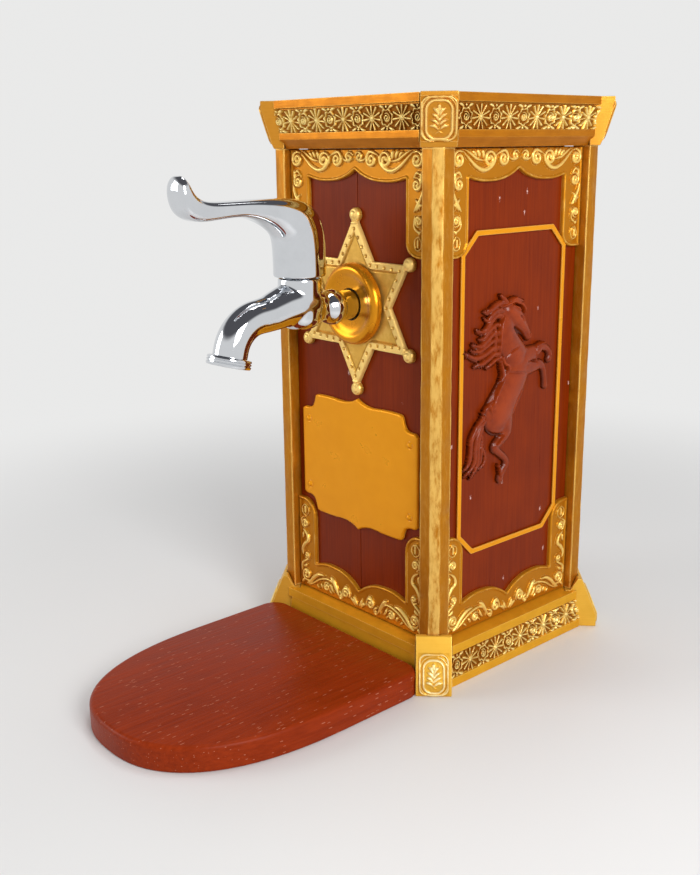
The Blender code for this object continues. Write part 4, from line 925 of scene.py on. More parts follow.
        # The share of full height, which the paints read to put painted shade in recesses and a painted highlight on
        # tops.
        raised = np.clip(self.relief[first, second] / top, 0, 1).astype(np.float32)
        mesh.attributes.new("raised", "FLOAT", "POINT").data.foreach_set("value", raised)
        mesh.vertices.foreach_set("co", co.astype(np.float32).ravel())
        count = len(mesh.vertices)
        self._skirt(piece, pierced)
        local = np.zeros(len(mesh.vertices) * 3, np.float32)
        mesh.vertices.foreach_get("co", local)
        local = local.reshape(-1, 3).astype(float)
        local[count:, 2] = foot
        world = place(local[:, 0], local[:, 1], local[:, 2]) * MM
        mesh.vertices.foreach_set("co", world.astype(np.float32).ravel())
        mesh.update()
        if not pierced:
            fill_ends(piece)
        normals_out(piece)
        smooth(piece, 55.0)
        return piece

    def _indices(self, mesh: bpy.types.Mesh) -> tuple[np.ndarray, np.ndarray]:
        """The grid's column and row of each vertex, while the mesh is still flat."""
        co = np.zeros(len(mesh.vertices) * 3, np.float32)
        mesh.vertices.foreach_get("co", co)
        co = co.reshape(-1, 3)
        first = np.rint((co[:, 0] + 1) / 2 * (self.counts[0] - 1)).astype(int)
        second = np.rint((co[:, 1] + 1) / 2 * (self.counts[1] - 1)).astype(int)
        return first, second

    @staticmethod
    def _delete(piece: bpy.types.Object, outside: np.ndarray) -> None:
        """Deletes the marked vertices."""
        mesh = piece.data
        mesh.polygons.foreach_set("select", np.zeros(len(mesh.polygons), bool))
        mesh.edges.foreach_set("select", np.zeros(len(mesh.edges), bool))
        mesh.vertices.foreach_set("select", outside)
        bpy.context.tool_settings.mesh_select_mode = (True, False, False)
        bpy.ops.object.mode_set(mode="EDIT")
        bpy.ops.mesh.delete(type="VERT")
        bpy.ops.mesh.select_all(action="SELECT")
        bpy.ops.mesh.delete_loose(use_verts=True, use_edges=True, use_faces=False)
        bpy.ops.object.mode_set(mode="OBJECT")

    @staticmethod
    def _skirt(piece: bpy.types.Object, pierced: bool) -> None:
        """Extrudes the open rim, or the whole of a pierced sheet, so that it gets side walls."""
        if pierced:
            bpy.context.tool_settings.mesh_select_mode = (False, False, True)
            bpy.ops.object.mode_set(mode="EDIT")
            bpy.ops.mesh.select_all(action="SELECT")
            bpy.ops.mesh.extrude_region_move()
            bpy.ops.object.mode_set(mode="OBJECT")
            bpy.context.tool_settings.mesh_select_mode = (True, False, False)
            return
        bpy.context.tool_settings.mesh_select_mode = (False, True, False)
        bpy.ops.object.mode_set(mode="EDIT")
        bpy.ops.mesh.select_all(action="DESELECT")
        bpy.ops.mesh.select_non_manifold(
            extend=False, use_wire=False, use_boundary=True, use_multi_face=False,
            use_non_contiguous=False, use_verts=False,
        )
        bpy.ops.mesh.extrude_edges_move()
        bpy.ops.object.mode_set(mode="OBJECT")
        bpy.context.tool_settings.mesh_select_mode = (True, False, False)


def rim_points(mesh: bpy.types.Mesh) -> np.ndarray:
    """The indices of the vertices on a mesh's open rim."""
    edges = np.zeros(len(mesh.edges) * 2, np.int32)
    mesh.edges.foreach_get("vertices", edges)
    used = np.zeros(len(mesh.loops), np.int32)
    mesh.loops.foreach_get("edge_index", used)
    open_edges = np.bincount(used, minlength=len(mesh.edges)) == 1
    return np.unique(edges.reshape(-1, 2)[open_edges])


# ---- The cabinet's parts


@dataclass
class Posts:
    """The four corner posts, planed by hand, so that their edges waver."""

    chamfer: float = 3.2
    ease: float = 0.45
    ring_step: float = 2.4
    waver: float = 0.16

    def section(self) -> np.ndarray:
        """The section in plan at the front right corner, each corner rounded with four points."""
        facet = POST_REACH - self.chamfer
        corners = [
            (POST_INNER, -POST_INNER), (POST_INNER, -POST_REACH), (facet, -POST_REACH),
            (POST_REACH, -facet), (POST_REACH, -POST_INNER),
        ]
        rows = []
        count = len(corners)
        for index, corner in enumerate(corners):
            here = np.array(corner)
            before = np.array(corners[index - 1]) - here
            after = np.array(corners[(index + 1) % count]) - here
            start = here + before / np.linalg.norm(before) * self.ease
            end = here + after / np.linalg.norm(after) * self.ease
            for share in (0.0, 0.33, 0.67, 1.0):
                rows.append((1 - share) ** 2 * start + 2 * share * (1 - share) * here + share**2 * end)
        return np.array(rows)

    def build(self) -> None:
        """Builds one post and turns a copy of it to each corner."""
        outline = self.section()
        count = int((UPRIGHT_TOP - UPRIGHT_FOOT) / self.ring_step)
        heights = np.linspace(UPRIGHT_FOOT, UPRIGHT_TOP + 0.35, count + 1)
        middle = np.array([(POST_REACH + POST_INNER) / 2, -(POST_REACH + POST_INNER) / 2])
        for number, corner in enumerate(Corner):
            draw = np.random.default_rng(40 + number)
            drift = smooth_random(draw, len(heights), len(outline), 2.2)
            rings = []
            for row, height in enumerate(heights):
                pull = 1 - self.waver * np.abs(drift[row])[:, None] / 9
                flat = middle + (outline - middle) * pull
                rings.append(np.column_stack([flat, np.full(len(flat), height)]))
            turn = math.radians(corner.value - Corner.FRONT_RIGHT.value)
            spin = np.array([[math.cos(turn), -math.sin(turn), 0], [math.sin(turn), math.cos(turn), 0], [0, 0, 1]])
            piece = loft("post_" + corner.label, [ring @ spin.T for ring in rings])
            smooth(piece, 38.0)
            finish_piece(piece, POST_GOLD, Body.CABINET, ["corner_post_" + corner.label])


def smooth_random(draw: np.random.Generator, rows: int, columns: int, spread: float) -> np.ndarray:
    """Random values about 0 that change slowly down the rows and across the columns.

    Args:
        draw: The source of random numbers.
        rows: How many rows.
        columns: How many columns, which wrap round.
        spread: How many rows the values stay alike over.

    Returns:
        The values, mostly within one of 0.
    """
    values = draw.normal(size=(rows + 12, columns))
    kernel = np.exp(-np.linspace(-2, 2, int(4 * spread) + 1) ** 2)
    kernel /= np.sqrt((kernel**2).sum())
    soft = np.stack([np.convolve(values[:, c], kernel, "same") for c in range(columns)], 1)
    wrapped = (np.roll(soft, 1, 1) + soft * 1.5 + np.roll(soft, -1, 1)) / 2.1
    return wrapped[6 : 6 + rows]


@dataclass
class EasedParts:
    """Plain mouldings that keep their CAD shape and get eased edges."""

    def build(self) -> None:
        """Eases the rails, the blocks, the trims, the boards, the lid and the like."""
        gold: list[tuple[str, float, GoldPaint]] = []
        for side in Side:
            gold += [("crown_rail_" + side.label, 0.35, RAIL_GOLD), ("base_rail_" + side.label, 0.4, BASE_GOLD)]
            if side is not Side.FRONT:
                self._ease(side.label + "_octagon_trim", 0.4, SMOOTH_GOLD, "gold_trim")
        for corner in Corner:
            gold += [("crown_block_" + corner.label, 0.4, CROWN_BLOCK_GOLD), ("base_block_" + corner.label, 0.45, BASE_BLOCK_GOLD)]
        for node, width, finish in gold:
            self._ease(node, width, finish, "gold_paint")
        for node in ("front_board_left", "front_board_right", "right_wall", "back_wall", "left_wall", "tank_shelf"):
            self._ease(node, 0.15, PANEL_RED, "red_paint")
        lid = eased_copy("lid_panel", "lid_panel_eased", 0.5)
        finish_piece(lid, PANEL_RED, Body.LID, ["lid_panel"])
        tank = eased_copy("reservoir_tank", "tank_eased", 0.5)
        finish_piece(tank, TANK_PLASTIC, Body.CABINET, ["reservoir_tank"])

    @staticmethod
    def _ease(node: str, width: float, finish, slot: str) -> None:
        """Eases one node's edges."""
        piece = eased_copy(node, node + "_eased", width)
        finish_piece(piece, finish, Body.CABINET, [node])


@dataclass
class FlowerBand:
    """A leaning band of daisies and roses by turns, on the four rails of the crown or the base."""

    kind: str
    foot: float
    top: float
    foot_reach: float
    top_reach: float
    block_width: float
    pitch: float = 8.3
    step: float = 0.21
    lift: float = 1.2

    def carve(self, shift: float) -> Carving:
        """Carves one band, from end to end and from foot to top.

        Args:
            shift: How far the pattern is moved along the band.

        Returns:
            The carving.
        """
        half = (self.foot_reach + self.top_reach) / 2 - self.block_width * math.sqrt(2) / 2
        tall = self.top - self.foot
        band = Carving((-half, 0.0), (half, tall), self.step, 0.05)
        count = int(half / self.pitch) + 2
        for index in range(-count, count + 1):
            centre = (index * self.pitch + shift, tall / 2)
            if index % 2:
                self._rose(band, centre, tall)
            else:
                self._daisy(band, centre, tall)
        return band

    def _daisy(self, band: Carving, centre: Point, tall: float) -> None:
        """Works a daisy of long petals into the band."""
        for index in range(11):
            angle = math.radians(90 + 360 / 11 * index)
            reach = min(0.50 * tall, 0.47 * tall / max(abs(math.sin(angle)), 0.1))
            root = (centre[0] + 0.5 * math.cos(angle), centre[1] + 0.5 * math.sin(angle))
            tip = (centre[0] + reach * math.cos(angle), centre[1] + reach * math.sin(angle))
            band.ridge([root, tip], 0.86, self.lift, (0.4, 0.8, 1.0, 0.6), smoothed=False)
        band.dome(centre, 0.95, self.lift * 1.15)

    def _rose(self, band: Carving, centre: Point, tall: float) -> None:
        """Works a wound rose with leaves all round it into the band."""
        x, y = centre
        for index in range(7):
            angle = math.radians(90 + 360 / 7 * index)
            out = (x + 0.29 * tall * math.cos(angle), y + 0.29 * tall * math.sin(angle))
            turn = angle + math.radians(62)
            end = (x + 0.27 * tall * math.cos(turn), y + 0.27 * tall * math.sin(turn))
            middle = (angle + turn) / 2
            over = (x + 0.35 * tall * math.cos(middle), y + 0.35 * tall * math.sin(middle))
            band.ridge([out, over, end], 0.5, self.lift * 0.9)
        band.curl(centre, 0.19 * tall, 120, -560, 0.4, self.lift)
        for side in (-1, 1):
            for up in (-1, 1):
                root = (x + side * 0.12 * tall, y + up * 0.36 * tall)
                band.leaf(root, (x + side * 0.42 * tall, y + up * 0.47 * tall), 0.62, self.lift, 0.1 * side * up)
            band.dome((x, y + side * 0.44 * tall), 0.62, self.lift)

    def build(self, sides: Sequence[Side], shifts: dict[Side, float]) -> None:
        """Makes the bands.

        Args:
            sides: The sides that get one.
            shifts: How far the pattern is moved along the band, by side. The others are centred.
        """
        half = (self.foot_reach + self.top_reach) / 2 - self.block_width * math.sqrt(2) / 2
        for side in sides:
            band = self.carve(shifts.get(side, 0.0))
            matrix = wall_frame(side.value, 0.0)

            def place(across: np.ndarray, up: np.ndarray, out: np.ndarray) -> np.ndarray:
                """Points on the leaning band, whose ends follow the corner blocks."""
                reach = self.foot_reach + (self.top_reach - self.foot_reach) * up / (self.top - self.foot) + out
                end = reach - self.block_width * math.sqrt(2) / 2 + 0.12
                local = np.stack([across / half * end, self.foot + up, reach], 1)
                return local @ matrix[:3, :3].T

            piece = band.sheet(f"{self.kind}_flowers_{side.label}", place, -0.5)
            finish_piece(piece, RELIEF_GOLD, Body.CABINET)


@dataclass
class Medallion:
    """The bouquet in a double ring on the face of each corner block."""

    kind: str
    face: Sequence[Point]
    half_width: float
    centre: float
    half_height: float
    edge: Sequence[float]
    finish: GoldPaint
    step: float = 0.2
    lift: float = 0.95

    def carve(self) -> Carving:
        """Carves one medallion with its field."""
        low, high = self.edge
        slab = Carving((-self.half_width - 1.9, low), (self.half_width + 1.9, high), self.step, 0.06)
        middle = (low + high) / 2
        rim = rounded_box(slab.across, slab.up - middle, self.half_width + 1.75, (high - low) / 2 - 0.15, 3.4)
        slab.relief = np.maximum(slab.relief, ridge_across(rim + 0.45, 0.42, self.lift * 0.75))
        ring = rounded_box(slab.across, slab.up - self.centre, self.half_width, self.half_height, 3.9)
        slab.relief = np.maximum(slab.relief, ridge_across(ring + 0.35, 0.55, self.lift * 0.95))
        slab.relief = np.maximum(slab.relief, ridge_across(ring - 1.05, 0.34, self.lift * 0.6))
        slab.relief = np.maximum(slab.relief, 0.22 * (ring < -0.8))
        tall = self.half_height
        foot = self.centre - 0.60 * tall
        slab.ridge([(0, foot), (0, self.centre + 0.45 * tall)], 0.42, self.lift * 0.9)
        for side in (-1, 1):
            for row in range(4):
                root = (0.2 * side, foot + (0.1 + 0.22 * row) * tall)
                tip = (side * (3.7 - 0.42 * row), foot + (0.30 + 0.29 * row) * tall)
                slab.leaf(root, tip, 0.62, self.lift, 0.16 * side)
            slab.ridge([(0.2 * side, foot), (1.5 * side, foot - 0.1 * tall)], 0.5, self.lift * 0.7)
            slab.dome((side * 1.0, self.centre + 0.50 * tall), 0.6, self.lift)
            slab.dome((side * 2.0, self.centre - 0.28 * tall), 0.55, self.lift)
        slab.leaf((0, self.centre + 0.40 * tall), (0, self.centre + 0.76 * tall), 0.7, self.lift)
        slab.dome((0, self.centre + 0.02 * tall), 0.75, self.lift * 1.1)
        return slab

    def build(self) -> None:
        """Makes the four medallions from one carving."""
        slab = self.carve()
        heights = np.array([z for _, z in self.face])
        reaches = np.array([r for r, _ in self.face])
        for corner in Corner:
            matrix = wall_frame(corner.value, 0.0)

            def place(across: np.ndarray, up: np.ndarray, out: np.ndarray) -> np.ndarray:
                """Points on the block's face, raised level from it."""
                local = np.stack([across, up, np.interp(up, heights, reaches) + out], 1)
                return local @ matrix[:3, :3].T

            piece = slab.sheet(f"{self.kind}_medallion_{corner.label}", place, -0.4)
            finish_piece(piece, self.finish, Body.CABINET)


def rounded_box(across: np.ndarray, up: np.ndarray, wide: float, tall: float, radius: float) -> np.ndarray:
    """The distance to a rectangle with rounded corners about the origin, negative inside."""
    x = np.abs(across) - wide + radius
    y = np.abs(up) - tall + radius
    return np.hypot(np.maximum(x, 0), np.maximum(y, 0)) + np.minimum(np.maximum(x, y), 0) - radius


def ridge_across(away: np.ndarray, width: float, height: float) -> np.ndarray:
    """A rounded ridge where a distance is near 0."""
    return height * np.sqrt(np.clip(1 - (away / width) ** 2, 0, 1))


def eased_edge(distance: np.ndarray, radius: float) -> np.ndarray:
    """How far a rounded edge falls below the top, from the distance to the outline."""
    depth = np.clip(radius + distance, 0, radius)
    return radius - np.sqrt(np.maximum(radius**2 - depth**2, 0))


@dataclass
class ScrollFrames:
    """The upper and the lower scroll frame of each side, with a cusped edge and raised scrolls."""

    inner_half: float = 30.3
    outer_half: float = 42.1
    bevel_run: float = 7.7
    field_height: float = 1.0
    step: float = 0.3
    scallop: Sequence[Point] = (
        (0.0, 1.0), (0.05, 0.78), (0.12, 0.45), (0.24, 0.06), (0.38, -0.22), (0.55, -0.34),
        (0.72, -0.33), (0.86, -0.16), (0.95, 0.02), (1.0, 0.1),
    )

    def inner_line(self, far: float, sign: float, band: float, leg: float, cusp: float, bevel: float) -> list[Point]:
        """The right half of the inner edge, from the cusp out to the leg's rounded end."""
        edge = far + sign * band
        rough = [(x * self.inner_half, edge - sign * y * cusp) for x, y in self.scallop]
        line = [tuple(row) for row in smooth_line(rough, 4)]
        line.append((self.inner_half, far + sign * (leg - bevel)))
        for turn in np.radians(np.arange(15, 91, 15)):
            x = self.inner_half + self.bevel_run * (1 - math.cos(turn))
            line.append((x, far + sign * (leg - bevel + bevel * math.sin(turn))))
        return line

    def carve(self, upper: bool) -> tuple[Carving, np.ndarray]:
        """Carves one frame.

        Args:
            upper: Whether it is the upper frame.

        Returns:
            The carving and the distances to its outline.
        """
        if upper:
            far, sign, sizes = UPRIGHT_TOP, -1.0, (11.9, 42.5, 3.6, 6.0)
        else:
            far, sign, sizes = UPRIGHT_FOOT, 1.0, (14.4, 45.6, 4.8, 8.5)
        inner = self.inner_line(far, sign, *sizes)
        tip = far + sign * sizes[1]
        half = inner + [(self.outer_half, tip), (self.outer_half, far)]
        outline = half + [(-x, y) for x, y in reversed(half)]
        low, high = sorted((far, tip))
        frame_part = Carving((-self.outer_half, low), (self.outer_half, high), self.step, self.field_height)
        away = outline_distance(outline, frame_part.across, frame_part.up)
        rim_line = inner + [(self.outer_half, tip)]
        rim = outline_distance(rim_line, np.abs(frame_part.across), frame_part.up, closed=False)
        frame_part.ground -= eased_edge(away, 0.3)
        frame_part.relief = np.maximum(frame_part.relief, ridge_across(rim - 0.62, 0.62, 0.62))
        side = self.outer_half - np.abs(frame_part.across)
        frame_part.relief = np.maximum(frame_part.relief, ridge_across(side - 0.5, 0.5, 0.45))
        if upper:
            self._upper_scrolls(frame_part)
        else:
            self._lower_scrolls(frame_part)
        frame_part.mirror()
        return frame_part, away

    @staticmethod
    def _upper_scrolls(work: Carving) -> None:
        """Works the right half of the upper frame's scrolls."""
        work.curl((3.0, 221.4), 2.2, 160, -420, 0.62, 1.3)
        work.ridge([(0.9, 220.6), (3.4, 219.7), (6.4, 220.4), (7.4, 221.8)], 0.6, 1.1)
        work.ridge([(7.4, 221.6), (9.6, 223.4), (12.6, 222.8), (15.0, 221.8)], 0.75, 1.3, (0.5, 1.0, 0.8, 0.5))
        work.curl((10.6, 220.4), 3.2, 60, 540, 0.78, 1.45)
        work.ridge(
            [(15.2, 221.6), (16.6, 218.6), (19.4, 216.6), (23.0, 216.0), (27.2, 217.6), (31.2, 220.6), (34.4, 223.2)],
            0.85, 1.45, (0.6, 1.0, 1.15, 1.1, 1.0, 0.7, 0.4),
        )
        work.ridge([(22.0, 219.6), (26.6, 220.4), (30.6, 222.6), (33.6, 224.0)], 0.7, 1.2, (0.5, 1.0, 0.9, 0.4))
        work.curl((18.9, 220.2), 3.4, 200, -540, 0.8, 1.5)
        work.leaf((22.8, 220.6), (23.6, 223.9), 0.85, 1.35, 0.1)
        work.leaf((24.8, 221.0), (26.6, 223.8), 0.85, 1.3, 0.1)
        work.leaf((26.6, 221.2), (29.4, 223.4), 0.7, 1.2, 0.1)
        work.curl((37.0, 220.3), 3.3, 120, -560, 0.8, 1.55)
        work.leaf((41.0, 219.4), (39.6, 223.9), 0.8, 1.3, 0.1)
        work.leaf((39.8, 211.4), (39.4, 216.0), 0.75, 1.3, 0.12)
        work.ridge([(40.0, 213.6), (37.0, 215.4), (34.8, 213.0)], 0.7, 1.3)
        work.curl((36.8, 210.9), 2.7, 110, -520, 0.72, 1.45)
        work.ridge([(40.2, 209.4), (39.4, 206.4), (37.2, 202.8), (35.2, 200.4)], 0.85, 1.4, (0.5, 0.9, 1.1, 0.4))
        work.leaf((38.4, 201.0), (35.6, 205.4), 0.7, 1.2, -0.15)
        work.leaf((36.6, 200.6), (40.6, 203.2), 0.75, 1.3, 0.2)
        work.curl((38.0, 196.8), 2.3, -70, -500, 0.66, 1.4)
        work.ridge([(35.6, 198.6), (35.4, 194.6), (38.0, 192.6), (40.2, 193.6)], 0.6, 1.2)
        work.dome((38.2, 192.4), 0.9, 1.3)
        work.ridge(
            [(38.0, 190.8), (36.0, 189.8), (35.6, 187.6), (36.6, 185.6), (38.6, 185.8), (39.6, 188.0), (38.0, 190.8)],
            0.42, 0.9, (1.0, 1.0),
        )
        work.ridge([(37.6, 189.4), (37.6, 186.8)], 0.75, 1.35, (0.8, 1.0, 0.8), smoothed=False)

    @staticmethod
    def _lower_scrolls(work: Carving) -> None:
        """Works the right half of the lower frame's scrolls."""
        work.leaf((0.6, 21.0), (2.8, 25.2), 0.85, 1.3, -0.1)
        work.leaf((2.0, 20.6), (5.6, 23.4), 0.8, 1.3, 0.15)
        work.curl((8.4, 24.6), 2.7, 210, -520, 0.74, 1.45)
        work.ridge([(6.2, 26.6), (8.0, 27.8), (10.2, 26.6)], 0.7, 1.3)
        work.leaf((10.4, 21.6), (13.6, 24.2), 0.75, 1.3, 0.15)
        work.curl((12.2, 21.8), 1.4, 120, 420, 0.5, 1.2)
        work.ridge([(13.8, 22.0), (15.4, 25.0), (17.4, 28.0), (19.0, 29.2)], 1.0, 1.55, (0.5, 1.0, 1.1, 0.5))
        work.leaf((16.8, 22.0), (19.2, 26.0), 0.75, 1.3, -0.12)
        work.ridge(
            [(15.2, 22.0), (15.6, 25.0), (19.0, 27.4), (23.0, 27.2), (27.6, 25.4), (31.6, 22.6), (35.0, 20.8)],
            0.6, 1.2, (0.6, 0.9, 1.0, 1.0, 1.0, 0.6),
        )
        work.ridge([(24.0, 28.4), (27.8, 28.0), (31.6, 25.4), (34.6, 22.2), (36.4, 21.2)], 0.95, 1.5, (0.4, 1.0, 1.15, 1.0, 0.6))
        work.curl((22.0, 23.6), 2.3, 150, -520, 0.66, 1.4)
        work.leaf((25.2, 21.6), (26.6, 24.0), 0.75, 1.25, 0.1)
        work.leaf((18.6, 20.8), (20.4, 22.8), 0.6, 1.1)
        work.leaf((27.6, 20.8), (29.4, 22.6), 0.6, 1.1)
        work.curl((36.8, 25.6), 3.1, -120, 560, 0.78, 1.5)
        work.leaf((40.6, 20.6), (38.6, 22.8), 0.8, 1.3)
        work.leaf((39.4, 29.2), (36.4, 31.0), 0.8, 1.3, 0.1)
        work.ridge([(40.4, 27.0), (40.0, 30.6), (37.4, 32.6), (35.0, 33.8)], 0.75, 1.35, (0.6, 1.0, 0.9, 0.4))
        work.curl((36.4, 35.6), 1.9, -40, -460, 0.6, 1.35)
        work.ridge([(39.2, 35.4), (39.6, 38.2), (37.8, 41.2), (35.4, 43.2), (36.0, 46.2), (38.8, 48.4)],
                   0.95, 1.5, (0.4, 0.9, 1.15, 1.0, 0.8, 0.4))
        work.leaf((39.6, 43.4), (39.0, 47.4), 0.7, 1.2, 0.1)
        work.curl((37.2, 51.6), 2.4, -70, 500, 0.68, 1.4)
        work.ridge([(39.6, 50.0), (40.0, 53.4), (37.6, 55.0)], 0.6, 1.2)
        work.ridge(
            [(37.4, 61.2), (35.0, 59.8), (34.8, 57.4), (36.6, 55.8), (38.8, 56.6), (39.4, 59.2), (37.4, 61.2)],
            0.42, 0.9, (1.0, 1.0),
        )
        work.ridge([(37.0, 60.0), (37.0, 57.2)], 0.75, 1.35, (0.8, 1.0, 0.8), smoothed=False)

    def build(self) -> None:
        """Makes the eight frames from two carvings."""
        for upper in (True, False):
            work, away = self.carve(upper)
            kind = "upper" if upper else "lower"
            for side in Side:
                piece = work.sheet(f"{kind}_scrolls_{side.label}", on_wall(side, 46.6), -0.3, away, 1.3)
                finish_piece(piece, FRAME_GOLD, Body.CABINET, [f"{kind}_scroll_frame_{side.label}"])


@dataclass
class NamePlate:
    """The blank plate with stepped corners, two cusps and four studs."""

    half_width: float = 37.6
    half_height: float = 30.4
    centre: float = 88.5
    thickness: float = 1.5
    step: float = 0.4
    quarter: Sequence[Point] = (
        (1.0, 0.655), (0.955, 0.695), (0.87, 0.70), (0.81, 0.735), (0.775, 0.81), (0.755, 0.89),
        (0.70, 0.925), (0.48, 0.93), (0.24, 0.915), (0.10, 0.945), (0.0, 1.0),
    )

    def build(self) -> None:
        """Builds the plate."""
        corner = [(x * self.half_width, y * self.half_height) for x, y in self.quarter]
        line = [tuple(row) for row in smooth_line(corner, 4)]
        right = [(x, -y) for x, y in reversed(line)] + line
        outline = right + [(-x, y) for x, y in reversed(right)]
        outline = [(x, y + self.centre) for x, y in outline]
        low = (-self.half_width, self.centre - self.half_height)
        work = Carving(low, (self.half_width, self.centre + self.half_height), self.step, self.thickness)
        away = outline_distance(outline, work.across, work.up)
        work.ground -= eased_edge(away, 0.8)
        wave = np.sin(work.across * 0.21 + 1.1) * np.sin(work.up * 0.17 + 0.6)
        work.ground += 0.05 * wave * np.clip(-away / 3, 0, 1)
        for x in (-33.0, 33.0):
            for y in (-16.0, 16.0):
                work.dome((x, self.centre + y), 1.35, 0.95)
                work.ground -= ridge_across(np.hypot(work.across - x, work.up - self.centre - y) - 1.6, 0.35, 0.18)
        piece = work.sheet("plate", on_wall(Side.FRONT, 46.6), 0.0, away, 4.0)
        finish_piece(piece, SMOOTH_GOLD, Body.CABINET, ["name_plate"])


@dataclass
class StarBadge:
    """The six-pointed badge: a punched border round a lower field, and a ball on each tip."""

    tip: float = 36.6
    notch: float = 21.2
    ball: float = 2.95
    ball_reach: float = 37.25
    border: float = 3.3
    step: float = 0.25

    def build(self) -> None:
        """Builds the badge."""
        corners = []
        for index in range(12):
            radius = self.notch if index % 2 else self.tip
            angle = math.radians(30 * index)
            corners.append((radius * math.sin(angle), TAP_HEIGHT + radius * math.cos(angle)))
        reach = self.ball_reach + self.ball + 0.1
        work = Carving((-reach, TAP_HEIGHT - reach), (reach, TAP_HEIGHT + reach), self.step, 0.95)
        star = outline_distance(corners, work.across, work.up)
        away = star.copy()
        work.ground -= eased_edge(away, 0.35) * 0.6
        inside = star < 0.6
        border = np.clip((self.border + star) / 0.35, 0, 1)
        groove = np.exp(-(((star + self.border + 0.3) / 0.28) ** 2))
        # The field stays a little raised, so that only the groove round it and the punched marks fall to the painted
        # shade of the recesses.
        field = 0.5 - 0.42 * groove
        work.relief = np.where(inside, np.maximum(1.2 * border, field * (1 - border)), 0.0)
        for index in range(6):
            angle = math.radians(60 * index)
            toward = np.array([math.sin(angle), math.cos(angle)])
            centre = toward * self.ball_reach + np.array([0, TAP_HEIGHT])
            apart = np.hypot(work.across - centre[0], work.up - centre[1])
            away = np.minimum(away, apart - self.ball)
            neck = toward * (self.ball_reach - 3.3) + np.array([0, TAP_HEIGHT])
            side = np.array([toward[1], -toward[0]]) * 1.4
            work.ridge([tuple(neck - side), tuple(neck + side)], 0.7, 1.6, (1.0, 1.0), smoothed=False)
            work.dome(tuple(centre), self.ball, 2.6)
            work.relief -= 0.34 * np.exp(-(((apart - 1.75) / 0.3) ** 2))
        self._punch(work, corners)
        piece = work.sheet("star", on_wall(Side.FRONT, 46.6), 0.0, away, 1.2)
        finish_piece(piece, BADGE_GOLD, Body.CABINET, ["star_badge"])

    @staticmethod
    def _punch(work: Carving, corners: Sequence[Point]) -> None:
        """Presses a row of small round marks along the border."""
        middle = np.array([0, TAP_HEIGHT])
        line = [middle + (np.array(c) - middle) * (0.86 if i % 2 == 0 else 0.92) for i, c in enumerate(corners)]
        for start, end in zip(line, line[1:] + line[:1]):
            for share in (0.0, 0.25, 0.5, 0.75):
                x, y = start + (end - start) * share
                cut = work.window(np.array([x, y]) - 1.2, np.array([x, y]) + 1.2)
                hole = np.hypot(work.across[cut] - x, work.up[cut] - y)
                work.relief[cut] -= 1.05 * np.clip(1 - (hole / 0.88) ** 2, 0, 1)


